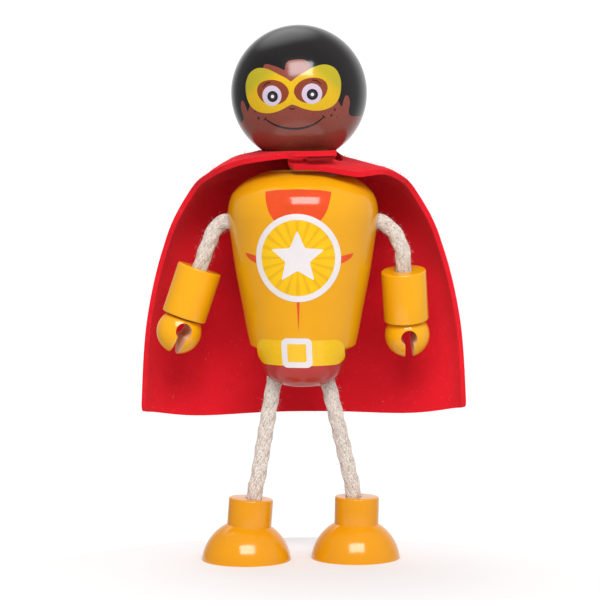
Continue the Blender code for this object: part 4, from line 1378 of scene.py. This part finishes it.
def make_fuzz_tree():
    """Roots spread over a surface, and on each a bent hair that leans a little its own way."""
    tree, given = new_tree("fuzz", (
        ("Surface", GEOMETRY, None), ("Hairs per square metre", REAL, 1e6), ("Shortest", REAL, 0.0003),
        ("Longest", REAL, 0.001), ("Hair radius", REAL, 0.00002), ("Lean", REAL, 0.9), ("Seed", WHOLE, 1),
    ))
    sockets = {"Mesh": given["Surface"], "Density": given["Hairs per square metre"], "Seed": given["Seed"]}
    roots = add(tree, "GeometryNodeDistributePointsOnFaces", sockets)
    line = add(tree, "GeometryNodeCurveQuadraticBezier", HAIR_SHAPE).outputs["Curve"]
    share = add(tree, "ShaderNodeMath", {0: given["Hair radius"], 1: given["Longest"]}, operation="DIVIDE")
    rim = add(tree, "GeometryNodeCurvePrimitiveCircle", {"Resolution": 3, "Radius": share.outputs[0]})
    hair = add(tree, "GeometryNodeCurveToMesh", {"Curve": line, "Profile Curve": rim.outputs["Curve"]})
    sockets = {"Min": (-1, -1, -1), "Max": (1, 1, 1), "Seed": LEAN_SEED}
    stray = add(tree, "FunctionNodeRandomValue", sockets, data_type="FLOAT_VECTOR").outputs[0]
    sockets = {0: stray, "Scale": given["Lean"]}
    stray = add(tree, "ShaderNodeVectorMath", sockets, operation="SCALE").outputs[0]
    sockets = {0: roots.outputs["Normal"], 1: stray}
    way = add(tree, "ShaderNodeVectorMath", sockets, operation="ADD").outputs[0]
    turn = add(tree, "FunctionNodeAlignRotationToVector", {"Vector": way}, axis="Z").outputs["Rotation"]
    sockets = {2: given["Shortest"], 3: given["Longest"], "Seed": LENGTH_SEED}
    size = add(tree, "FunctionNodeRandomValue", sockets, data_type="FLOAT").outputs[1]
    sockets = {"Points": roots.outputs["Points"], "Instance": hair.outputs["Mesh"], "Rotation": turn}
    sockets["Scale"] = size
    hairs = add(tree, "GeometryNodeInstanceOnPoints", sockets).outputs["Instances"]
    real = add(tree, "GeometryNodeRealizeInstances", {"Geometry": hairs}).outputs["Geometry"]
    add(tree, "NodeGroupOutput", {"Geometry": real})
    return tree


fuzz_tree = make_fuzz_tree()
print("fuzz tree", len(fuzz_tree.nodes), "nodes")

# %% [markdown]
# ## Braid
# The cord is a round braid: six strands wind one way round it and six the other, each strand of four yarns
# side by side, and each goes over two and under two. That gives the long chevrons in the photograph. A tree
# follows the cord's line: it copies the line once for each yarn, moves each copy out to its helix, with a
# small swing in and out where strands cross, and sweeps a round section along it. The sums behind the helix
# are a list, and one loop turns each row into a node. A word in a row is an input or an earlier result.

# %% Sums of the braid
STRANDS = 6
YARNS = 4
YARN_RADIUS = 0.00022
YARN_SIDES = 6
CORE_SIDES = 16
CRIMP = 0.00019
LAY = 0.0250
YARN_SPACING = 0.00035
STRAND_ROUND = 0.00004
YARN_SHIFT = 0.00037
BRAID_STEP = 0.0003
CORD_RADIUS = 0.00182
CORE_INSET_SHARE = 0.6
YARN_SUMS = (
    # The strand that a yarn is in, its place in it, and the way that the strand winds.
    ("past yarn", "ADD", "yarn", 0.5),
    ("strands before", "DIVIDE", "past yarn", "Yarns in a strand"),
    ("strand", "FLOOR", "strands before"),
    ("first yarn", "MULTIPLY", "strand", "Yarns in a strand"),
    ("in strand", "SUBTRACT", "yarn", "first yarn"),
    ("last of ring", "SUBTRACT", "Strands each way", 0.5),
    ("second ring", "GREATER_THAN", "strand", "last of ring"),
    ("sign", "MULTIPLY_ADD", "second ring", -2, 1),
    ("skipped", "MULTIPLY", "second ring", "Strands each way"),
    ("in ring", "SUBTRACT", "strand", "skipped"),
    # The helix's middle radius is what the outermost yarns leave.
    ("inside crimp", "SUBTRACT", "Cord radius", "Crimp"),
    ("out", "SUBTRACT", "inside crimp", "Yarn radius"),
    # How far round a yarn has wound at a length of the cord.
    ("whole turns", "MULTIPLY", "length", math.tau),
    ("wind", "DIVIDE", "whole turns", "Lay"),
    ("ring turn", "MULTIPLY", "in ring", math.tau),
    ("base", "DIVIDE", "ring turn", "Strands each way"),
    ("gaps", "SUBTRACT", "Yarns in a strand", 1),
    ("middle", "DIVIDE", "gaps", 2),
    ("off middle", "SUBTRACT", "in strand", "middle"),
    ("yarn angle", "DIVIDE", YARN_SPACING, "out"),
    ("sideways", "MULTIPLY", "off middle", "yarn angle"),
    ("wound", "MULTIPLY_ADD", "sign", "wind", "base"),
    ("turn", "ADD", "wound", "sideways"),
    ("cosine", "COSINE", "turn"),
    ("sine", "SINE", "turn"),
    # Over two, under two: each strand swings in and out as it crosses the others.
    ("per turn", "DIVIDE", "Strands each way", math.pi),
    ("crossings", "MULTIPLY", "wind", "per turn"),
    ("signed", "MULTIPLY", "crossings", "sign"),
    ("quarter turns", "MULTIPLY", "signed", math.pi / 2),
    ("phase", "MULTIPLY_ADD", "in ring", math.pi, "quarter turns"),
    ("shifted", "SUBTRACT", "phase", math.pi / 4),
    ("wave", "COSINE", "shifted"),
    ("swing", "MULTIPLY", "wave", "sign"),
    ("swung", "MULTIPLY_ADD", "swing", "Crimp", "out"),
    ("squared", "MULTIPLY", "off middle", "off middle"),
    ("rounding", "MULTIPLY", "squared", STRAND_ROUND),
    ("radius", "SUBTRACT", "swung", "rounding"),
    # A mark along the yarn, the two ends that are cut off, and the core.
    ("along", "MULTIPLY_ADD", "yarn", YARN_SHIFT, "length"),
    ("before first", "SUBTRACT", "First point", 0.5),
    ("early", "LESS_THAN", "point", "before first"),
    ("after last", "ADD", "Last point", 0.5),
    ("late", "GREATER_THAN", "point", "after last"),
    ("cut off", "ADD", "early", "late"),
    ("core inset", "MULTIPLY", "Crimp", CORE_INSET_SHARE),
    ("core radius", "SUBTRACT", "out", "core inset"),
)
print("the braid takes", len(YARN_SUMS), "sums")

# %% A tree that braids a cord round a line
def make_braid_tree():
    tree, given = new_tree("braid", (
        ("Line", GEOMETRY, None), ("Cord radius", REAL, CORD_RADIUS), ("Lay", REAL, LAY),
        ("Strands each way", WHOLE, STRANDS), ("Yarns in a strand", WHOLE, YARNS),
        ("Yarn radius", REAL, YARN_RADIUS), ("Crimp", REAL, CRIMP), ("First point", WHOLE, 0),
        ("Last point", WHOLE, 100), ("Hairs per square metre", REAL, 4e5), ("Longest", REAL, 0.0012),
    ))

    # One copy of the line for each yarn.
    line = add(tree, "GeometryNodeMeshToCurve", {"Mesh": given["Line"]}).outputs["Curve"]
    strands = add(tree, "ShaderNodeMath", {0: given["Strands each way"], 1: 2}, operation="MULTIPLY")
    sockets = {0: strands.outputs[0], 1: given["Yarns in a strand"]}
    yarns = add(tree, "ShaderNodeMath", sockets, operation="MULTIPLY").outputs[0]
    sockets = {"Geometry": line, "Amount": yarns}
    copies = add(tree, "GeometryNodeDuplicateElements", sockets, domain="SPLINE").outputs

    # The sums of the list, each a node.
    on_line = add(tree, "GeometryNodeSplineParameter").outputs
    known = {socket.name: socket for socket in given}
    known["yarn"] = copies["Duplicate Index"]
    known["length"] = on_line["Length"]
    known["point"] = on_line["Index"]
    for name, operation, *terms in YARN_SUMS:
        sockets = {i: known.get(term, term) for i, term in enumerate(terms)}
        known[name] = add(tree, "ShaderNodeMath", sockets, operation=operation).outputs[0]

    # Each copy moves out from the line, to its place on the helix.
    normal = add(tree, "GeometryNodeInputNormal").outputs["Normal"]
    tangent = add(tree, "GeometryNodeInputTangent").outputs["Tangent"]
    across = add(tree, "ShaderNodeVectorMath", {0: tangent, 1: normal}, operation="CROSS_PRODUCT").outputs[0]
    halves = {}
    for i, (way, share) in enumerate(((normal, "cosine"), (across, "sine"))):
        sockets = {0: way, "Scale": known[share]}
        halves[i] = add(tree, "ShaderNodeVectorMath", sockets, operation="SCALE").outputs[0]
    away = add(tree, "ShaderNodeVectorMath", halves, operation="ADD").outputs[0]
    sockets = {0: away, "Scale": known["radius"]}
    offset = add(tree, "ShaderNodeVectorMath", sockets, operation="SCALE").outputs[0]
    stored = {"data_type": "FLOAT", "domain": "POINT"}
    sockets = {"Geometry": copies["Geometry"], "Name": "along", "Value": known["along"]}
    marked = add(tree, "GeometryNodeStoreNamedAttribute", sockets, **stored).outputs["Geometry"]
    sockets = {"Geometry": marked, "Offset": offset}
    wound = add(tree, "GeometryNodeSetPosition", sockets).outputs["Geometry"]

    # Yarns and core are cut to length and get a round section that knows its way round.
    swept = []
    for curves, radius, sides in (
        (wound, known["Yarn radius"], YARN_SIDES), (line, known["core radius"], CORE_SIDES),
    ):
        sockets = {"Geometry": curves, "Selection": known["cut off"]}
        kept = add(tree, "GeometryNodeDeleteGeometry", sockets, domain="POINT").outputs["Geometry"]
        sockets = {"Resolution": sides, "Radius": radius}
        rim = add(tree, "GeometryNodeCurvePrimitiveCircle", sockets).outputs["Curve"]
        sockets = {0: known["point"], 1: math.tau / sides}
        turn_round = add(tree, "ShaderNodeMath", sockets, operation="MULTIPLY").outputs[0]
        for name, operation in (("round_cos", "COSINE"), ("round_sin", "SINE")):
            share = add(tree, "ShaderNodeMath", {0: turn_round}, operation=operation).outputs[0]
            sockets = {"Geometry": rim, "Name": name, "Value": share}
            rim = add(tree, "GeometryNodeStoreNamedAttribute", sockets, **stored).outputs["Geometry"]
        sockets = {"Curve": kept, "Profile Curve": rim, "Fill Caps": True}
        swept.append(add(tree, "GeometryNodeCurveToMesh", sockets).outputs["Mesh"])
    braid, core = swept

    # Loose fibres stand on the yarns, and all of it becomes one mesh.
    fuzz = add(tree, "GeometryNodeGroup", node_tree=fuzz_tree)
    tree.links.new(braid, fuzz.inputs["Surface"])
    for label in ("Hairs per square metre", "Longest"):
        tree.links.new(given[label], fuzz.inputs[label])
    joined = add(tree, "GeometryNodeJoinGeometry")
    for part in (fuzz.outputs["Geometry"], core, braid):
        tree.links.new(part, joined.inputs["Geometry"])
    real = add(tree, "GeometryNodeRealizeInstances", {"Geometry": joined.outputs["Geometry"]})
    sockets = {"Geometry": real.outputs["Geometry"], "Material": cotton}
    finished = add(tree, "GeometryNodeSetMaterial", sockets)
    smooth = add(tree, "GeometryNodeSetShadeSmooth", {"Geometry": finished.outputs["Geometry"]})
    add(tree, "NodeGroupOutput", {"Geometry": smooth.outputs["Geometry"]})
    return tree


braid_tree = make_braid_tree()
print("braid tree", len(braid_tree.nodes), "nodes")

# %% [markdown]
# ## Cords on their joints
# A cord bends where a joint is, and a piece can bend across one joint only. So each cord is braided in
# lengths that meet halfway between two joints, where both sides move as one body, and no seam shows. Every
# length comes from the same line and the same tree, so the strands run on from one to the next.

# %% Cords
ARM_BEND = 0.0019
LEG_BEND = 0.0023
ARM_HAIRS = 9e5
LEG_HAIRS = 4e5


def route_object(name, route):
    """The cord's line as a chain of edges, evenly spaced."""
    count = round(route.total / BRAID_STEP)
    points = [DOLL @ route.at(route.total * i / count)[0] for i in range(count + 1)]
    mesh = bpy.data.meshes.new(name)
    mesh.from_pydata(points, [(i, i + 1) for i in range(count)], [])
    return new_object(name, mesh), count


def make_cord(limb, route, joints, reach, hairs):
    """Braids a limb's cord. joints is (joint, body before, body after, nodes) from the torso outwards.
    The two bodies are not used.
    """
    bends = [route.nearest(pivot[joint[0]]) for joint in joints]
    cuts = [0] + [(a + b) / 2 for a, b in zip(bends, bends[1:])] + [route.total]
    for i, (joint, before, after, nodes) in enumerate(joints):
        made, count = route_object(f"{limb}_cord_{i + 1}", route)
        first, last = (round(s / route.total * count) for s in (cuts[i], cuts[i + 1]))
        run_tree(made, braid_tree, first_point=first, last_point=last, hairs_per_square_metre=hairs)
        start, end = (DOLL @ route.at(bends[i] + s)[0] for s in (-reach, reach))
        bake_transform(made)
        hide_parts(*nodes)
        print(made.name, len(made.data.polygons), "faces")


for side in SIDE_NAMES:
    arm, leg = f"{side}_arm", f"{side}_leg"
    make_cord(arm, arm_route[side], (
        (f"{side}_arm_swing", "torso", f"{side}_upper_arm", (f"{arm}_root_cord", f"{arm}_upper_cord")),
        (f"{side}_arm_raise", f"{side}_upper_arm", f"{side}_forearm", (f"{arm}_lower_cord",)),
    ), ARM_BEND, ARM_HAIRS)
    make_cord(leg, leg_route[side], (
        (f"{side}_hip_splay", "torso", f"{side}_hip", (f"{leg}_root_cord", f"{leg}_hip_cord")),
        (f"{side}_hip_swing", f"{side}_hip", f"{side}_thigh", (f"{leg}_thigh_cord",)),
        (f"{side}_knee", f"{side}_thigh", f"{side}_shin", (f"{leg}_shin_cord",)),
        (f"{side}_ankle", f"{side}_shin", f"{side}_foot", (f"{leg}_end_cord",)),
    ), LEG_BEND, LEG_HAIRS)

# %% [markdown]
# ## Cape
# One sheet of felt lies round the neck and over the shoulders and hangs down the back. Felt is stiff enough
# to hold a simple shape, so the sheet follows a rule instead of a simulation. Each level says how far out,
# how far back and how far down the felt lies, at the side and behind, and where it ends, in degrees from the
# back. Smooth lines join the levels. The two top corners are straps that lie over each other in front of the
# neck. The last values are what the felt in the photograph does by itself, on one side more than the other.

# %% Levels of the cape
FELT = 0.0012
CAPE_HALF_WIDTH = 0.0374
CAPE_BEHIND_CHEST = 0.0017
CAPE_UNDER_HEAD = 0.00056
CAPE_DROP = 0.0606
CAPE_ROUNDNESS = 2.5
CAPE_FRONT_SHARE = -0.4
CAPE_WAVE = 0.0008
CAPE_WAVES = 5
HEM_TILT = 0.0005
HEM_SWAY = 0.0002
CAPE_LEVEL_SHARES = (
    (0.232, 0.470, 0.006, 0.004, 200),
    (0.300, 0.600, 0.040, 0.014, 198),
    (0.424, 0.800, 0.056, 0.040, 121),
    (0.545, 0.945, 0.086, 0.090, 98),
    (0.660, 0.992, 0.150, 0.160, 85),
    (0.842, 1.000, 0.345, 0.355, 74),
    (0.964, 0.990, 0.640, 0.655, 73),
    (1.008, 0.965, 0.970, 1.000, 72),
)
HEM_LEVEL = len(CAPE_LEVEL_SHARES) - 1
HANG_FROM_LEVEL = 4
HANG_POWER = 1.5
STRAP_EXTRA_DEG = 16
STRAP_EXTRA_FALL = 6
STRAP_FROM_DEG = 118
STRAP_LAP = 0.0027
STRAP_PINCH = 0.7
STRAP_TIP_DEG = 9
STRAP_RISE = {"right": 0.0011, "left": 0.0001}
SHOULDER_FROM_DEG = 40
SHOULDER_LEVEL = 1.3
SHOULDER_LEVELS = 2
SHOULDER_RISE = {"right": 0.0016, "left": -0.0004}
NECKLINE_RISE = {"right": -0.0004, "left": -0.0010}
NECK_DIP = {"right": 0, "left": 0.0013}
NECK_DIP_DEG = (50, 155)
NECK_DIP_EASE_DEG = 42
NECK_DIP_LEVELS = 2
FRONT_SAG = {"right": 0, "left": 0.0012}
FRONT_SAG_OUT_SHARE = 0.5
FRONT_SAG_FROM_DEG = 100
FRONT_SAG_EASE_DEG = 30
FRONT_SAG_LEVELS = (1, 3)
cape_side = CAPE_LEVEL_SHARES[0][0] * CAPE_HALF_WIDTH
cape_top = BODY_BOTTOM_Z + BODY_HEIGHT + NECK_GAP + HEAD_RADIUS
cape_top -= math.sqrt(HEAD_RADIUS ** 2 - cape_side ** 2) + CAPE_UNDER_HEAD
print("cape's top", round(cape_top * 1000, 2), "mm up,", HEM_LEVEL, "levels down to the hem")

# %% The rule of the cape
def ease(t):
    """From 0 to 1 with a level start and end."""
    t = min(1, max(0, t))
    return t * t * (3 - 2 * t)


def cape_level(w):
    """The five values of a level, smooth between the ones in the table."""
    k = min(int(w), HEM_LEVEL - 1)
    t = w - k
    a, b = CAPE_LEVEL_SHARES[max(k - 1, 0)], CAPE_LEVEL_SHARES[k]
    c, d = CAPE_LEVEL_SHARES[k + 1], CAPE_LEVEL_SHARES[min(k + 2, HEM_LEVEL)]
    smooth = []
    for i in range(len(b)):
        curve = 2 * b[i] + (c[i] - a[i]) * t + (2 * a[i] - 5 * b[i] + 4 * c[i] - d[i]) * t * t
        smooth.append((curve + (3 * b[i] - a[i] - 3 * c[i] + d[i]) * t ** 3) / 2)
    smooth[-1] = b[-1] + (c[-1] - b[-1]) * t ** (0.5 if k == 1 else 1)
    return smooth


def cape_point(degrees, w):
    """A point of the felt's middle surface, at an angle from the back (+ to the doll's left) on level w."""
    out, back, side_drop, back_drop, _ = cape_level(w)
    side = "left" if degrees > 0 else "right"
    # How much of each departure applies here: the lap of the straps, the seam over the shoulder, the
    # neckline's rise and dip, and the sag of the front edge.
    lap = ease((abs(degrees) - STRAP_FROM_DEG) / (180 - STRAP_FROM_DEG))
    shoulder = ease((abs(degrees) - SHOULDER_FROM_DEG) / SHOULDER_FROM_DEG)
    seam = shoulder * ease(1 - abs(w - SHOULDER_LEVEL) / SHOULDER_LEVELS) * ease(2 * w)
    neckline_share = shoulder * ease(1 - w)
    dip_low, dip_high = NECK_DIP_DEG
    dip = ease((abs(degrees) - dip_low) / NECK_DIP_EASE_DEG)
    dip *= ease((dip_high - abs(degrees)) / NECK_DIP_EASE_DEG) * max(0, 1 - w / NECK_DIP_LEVELS)
    sag_low, sag_high = FRONT_SAG_LEVELS
    sag = FRONT_SAG[side] * ease((abs(degrees) - FRONT_SAG_FROM_DEG) / FRONT_SAG_EASE_DEG)
    sag *= ease(w - sag_low) * ease(sag_high - w)
    # In plan the felt follows an oval, which turns boxy as it hangs. In front it is as deep as it is wide.
    turn = math.radians(degrees)
    power = 2 / (2 + (CAPE_ROUNDNESS - 2) * min(1, w / HANG_FROM_LEVEL))
    c, s = math.cos(turn), math.sin(turn)
    width = CAPE_HALF_WIDTH * out
    depth = (CHEST_RADIUS + CAPE_BEHIND_CHEST) * back
    if c < 0:
        depth += (width - depth) * c * c
    # It drops from level to level, and waves a little more the lower it hangs.
    front_share = 1 if c > 0 else CAPE_FRONT_SHARE
    drop = CAPE_DROP * (side_drop + (back_drop - side_drop) * c * c * front_share)
    hanging = max(0, (w - HANG_FROM_LEVEL) / (HEM_LEVEL - HANG_FROM_LEVEL)) ** HANG_POWER
    wave = CAPE_WAVE * hanging * math.cos(CAPE_WAVES * turn)
    # The right strap lies over the left one, pinched at its lower edge.
    pinched = 1 - STRAP_PINCH * ease(2 * w - 1) * ease(3 - w)
    lifted = STRAP_LAP * lap * pinched if side == "right" else 0
    x = math.copysign(abs(s) ** power, s) * (width + lifted) + HEM_SWAY * hanging
    y = math.copysign(abs(c) ** power, c) * (depth + lifted + sag * FRONT_SAG_OUT_SHARE) + wave
    rise = lap * min(1, w) * STRAP_RISE[side] + seam * SHOULDER_RISE[side]
    rise += neckline_share * NECKLINE_RISE[side] - dip * NECK_DIP[side] - sag
    z = cape_top - drop + wave / 2 + rise + HEM_TILT * s * hanging
    return Vector((x, y, z))


def cape_ends(w):
    """Where the felt starts and ends on a level, in degrees from the back."""
    end = cape_level(w)[-1]
    extra = STRAP_EXTRA_DEG * max(0, 1 - max(0, w - 1) * STRAP_EXTRA_FALL)
    tip = STRAP_TIP_DEG * ease(2 * w - 1) * ease(3 - 2 * w)
    return -end - extra, end - tip


print("straps end", [round(v) for v in cape_ends(0)], "degrees from the back")

# %% [markdown]
# The sheet has two faces and a rim, 1.2 mm apart, as cut felt has. Its lower corners were cut round. The rim
# is bevelled a little, because a cut edge of felt is soft. Columns are denser than the eye needs, so that the
# folds are smooth. Rows lie closer together where the straps and the corners end.

# %% A shell that follows the cape
PROBE_DEG = 1
PROBE_LEVEL = 0.02


def offset_point(degrees, w, offset):
    """A point off the felt's middle surface, outwards from the doll."""
    along = cape_point(degrees + PROBE_DEG, w) - cape_point(degrees - PROBE_DEG, w)
    down = cape_point(degrees, w + PROBE_LEVEL) - cape_point(degrees, max(0, w - PROBE_LEVEL))
    return cape_point(degrees, w) + along.cross(down).normalized() * offset


def cape_shell(angles, rows, low, high):
    """A closed shell that follows the cape, from low to high outside the felt's middle surface."""
    bm = bmesh.new()
    layers = [[[bm.verts.new(offset_point(degrees, w, offset)) for degrees in angles(w)] for w in rows]
              for offset in (low, high)]
    inner, outer = layers
    for lines in layers:
        for upper, lower in zip(lines, lines[1:]):
            for i in range(len(upper) - 1):
                bm.faces.new((upper[i], upper[i + 1], lower[i + 1], lower[i]))
    rims = [list(zip(*edge)) for edge in ((inner[0], outer[0]), (inner[-1], outer[-1]))]
    rims += [[(a[k], b[k]) for a, b in zip(inner, outer)] for k in (0, -1)]
    for rim in rims:
        for (a, b), (c, d) in zip(rim, rim[1:]):
            bm.faces.new((a, b, d, c))
    bmesh.ops.recalc_face_normals(bm, faces=bm.faces)
    return bm


for w in (0, HEM_LEVEL):
    print("level", w, "is", round(offset_point(0, w, FELT / 2).z * 1000, 1), "mm up behind")

# %% Cut and hang the felt
CAPE_COLUMNS = 150
CORNER_LEVELS = 0.14
CORNER_ROWS = 8
CORNER_DEG = 2.1
ROW_BANDS = ((0, 1, 20), (1, 4 / 3, 12), (1.35, 2, 12), (2, 6.8, 50), (6.8, HEM_LEVEL - CORNER_LEVELS, 1))
RIM_FROM_DEG = 60
RIM_ROUND = 0.00045


def hem_trim(w):
    """How much the hem's rounded corners take off each end of a level, in degrees."""
    t = max(0, (w - (HEM_LEVEL - CORNER_LEVELS)) / CORNER_LEVELS)
    return CORNER_DEG * (1 - math.sqrt(max(0, 1 - t * t)))


def sheet_angles(w):
    """The columns of a level, from one end of the felt to the other."""
    low, high = cape_ends(w)
    trim = hem_trim(w)
    low, high = low + trim, high - trim
    return [low + (high - low) * i / CAPE_COLUMNS for i in range(CAPE_COLUMNS + 1)]


def sheet_rows():
    """Levels from the neckline to the hem: the bands, then the hem's rounded corners."""
    rows = [low + (high - low) * i / steps for low, high, steps in ROW_BANDS for i in range(steps)]
    turns = [math.pi / 2 * i / CORNER_ROWS for i in range(CORNER_ROWS + 1)]
    rows += [HEM_LEVEL - CORNER_LEVELS * (1 - math.sin(turn)) for turn in turns]
    return sorted(set(round(w, 4) for w in rows))


bm = cape_shell(sheet_angles, sheet_rows(), -FELT / 2, FELT / 2)
rim = [e for e in bm.edges if e.calc_face_angle(0) > math.radians(RIM_FROM_DEG)]
bmesh.ops.bevel(bm, geom=rim, offset=RIM_ROUND, segments=3, affect="EDGES", clamp_overlap=True)
cape = piece("cape_felt", bm, [felt])
print("cape", len(cape.data.polygons), "faces")

# %% Measure the flat cut
MEASURE_STEPS = 60


def measure_cape():
    """The width at the hem, the longest drop and the area of the felt's middle surface, in metres."""
    grid = []
    for k in range(MEASURE_STEPS + 1):
        w = HEM_LEVEL * k / MEASURE_STEPS
        low, high = cape_ends(w)
        angles = [low + (high - low) * i / MEASURE_STEPS for i in range(MEASURE_STEPS + 1)]
        grid.append([cape_point(degrees, w) for degrees in angles])
    widths = [sum((b - a).length for a, b in zip(line, line[1:])) for line in grid]
    drops = [sum((b - a).length for a, b in zip(line, line[1:])) for line in zip(*grid)]
    area = 0
    for upper, lower in zip(grid, grid[1:]):
        for a, b, c, d in zip(upper, upper[1:], lower[1:], lower):
            area += ((b - a).cross(d - a).length + (c - b).cross(c - d).length) / 2
    return max(widths), max(drops), area


cape_width, cape_length, cape_area = measure_cape()
print("cape cut", [round(v * 1000, 1) for v in (cape_width, cape_length)], "mm")
print("felt", round(cape_area * 1e6), "mm2")

# %% Nap, hooks and loops
NAP = {"hairs_per_square_metre": 4.5e5, "shortest": 0.0003, "longest": 0.0011, "hair_radius": 0.00002}
PILE = {"hairs_per_square_metre": 1.5e7, "shortest": 0.00012, "longest": 0.00022, "hair_radius": 0.00002}
NAP_LEAN = 1.1
LOOP_LEAN = 1.2
HOOK_LEAN = 0.2
PATCH = 0.0004
PATCH_GAP = 0.00015
PATCH_DEG = (150, 180)
HOOK_DEG = (-212, -184)
PATCH_LEVELS = (0.12, 0.48)
PATCH_COLUMNS = 24
PATCH_ROWS = 12


def nap_of(name, surface, finish, **values):
    """Hairs on a piece, as a piece of their own."""
    made = new_object(name, surface.data.copy())
    mesh = run_tree(made, fuzz_tree, **values)
    mesh.materials.clear()
    mesh.materials.append(finish)
    mesh.shade_smooth()
    print(name, len(mesh.polygons), "faces")
    return made


def patch(name, node, ends, low, high):
    """A piece of hook or loop tape sewn to a strap."""
    start, end = ends
    top, bottom = PATCH_LEVELS

    def angles(w):
        return [start + (end - start) * i / PATCH_COLUMNS for i in range(PATCH_COLUMNS + 1)]

    rows = [top + (bottom - top) * i / PATCH_ROWS for i in range(PATCH_ROWS + 1)]
    made = piece(name, cape_shell(angles, rows, low, high), [tape])
    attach(made, "torso")
    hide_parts(node)
    return made


near = FELT / 2 + PATCH_GAP
loops = patch("loop_tape", "loop_patch", PATCH_DEG, near, near + PATCH)
hooks = patch("hook_tape", "hook_patch", HOOK_DEG, -near - PATCH, -near)
loop_pile = nap_of("loop_pile", loops, tape, lean=LOOP_LEAN, seed=3, **PILE)
hook_pile = nap_of("hook_pile", hooks, tape, lean=HOOK_LEAN, seed=4, **PILE)
nap = nap_of("cape_nap", cape, felt, lean=NAP_LEAN, seed=5, **NAP)
for made in (loop_pile, hook_pile, nap, cape):
    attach(made, "torso")
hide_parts("cape")

# %% [markdown]
# ## Floor
# The small round table top, plain and white. It isn't part of the doll.

# %% Floor
TABLE_RADIUS = 0.066
TABLE_MIDDLE_Y = -0.039
TABLE_TOOTH = 0.0011
TABLE_TOOTH_DEPTH = 0.0001


def make_floor():
    """A flat disc of white laminate, staged and not a piece."""
    made, tree, shader, place = new_material("white_laminate", "E2E2E2", 0.6)
    sockets = {"Vector": place, "Scale": 1 / TABLE_TOOTH, "Detail": 2.0}
    tooth = add(tree, "ShaderNodeTexNoise", sockets).outputs["Fac"]
    sockets = {"Strength": 0.05, "Distance": TABLE_TOOTH_DEPTH, "Height": tooth}
    bump = add(tree, "ShaderNodeBump", sockets)
    tree.links.new(bump.outputs["Normal"], shader.inputs["Normal"])
    shader.inputs["Specular IOR Level"].default_value = 0.0
    mesh = bpy.data.meshes.new("floor")
    turns = [math.tau * i / SIDES for i in range(SIDES)]
    rim = [(TABLE_RADIUS * math.cos(a), TABLE_MIDDLE_Y + TABLE_RADIUS * math.sin(a), 0) for a in turns]
    mesh.from_pydata(rim, [], [tuple(range(SIDES))])
    mesh.materials.append(made)
    new_object("floor", mesh)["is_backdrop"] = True
    print("floor", TABLE_RADIUS * 2, "m across")


make_floor()

# %% [markdown]
# ## Size
# The looks may stand a few millimetres proud of the solids, but no more. Both boxes are printed here.

# %% Print the boxes and finish
low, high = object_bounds()
for label, size in (("CAD", cad_high - cad_low), ("visual", high - low)):
    print(label, [round(v * 1000, 1) for v in size], "mm")
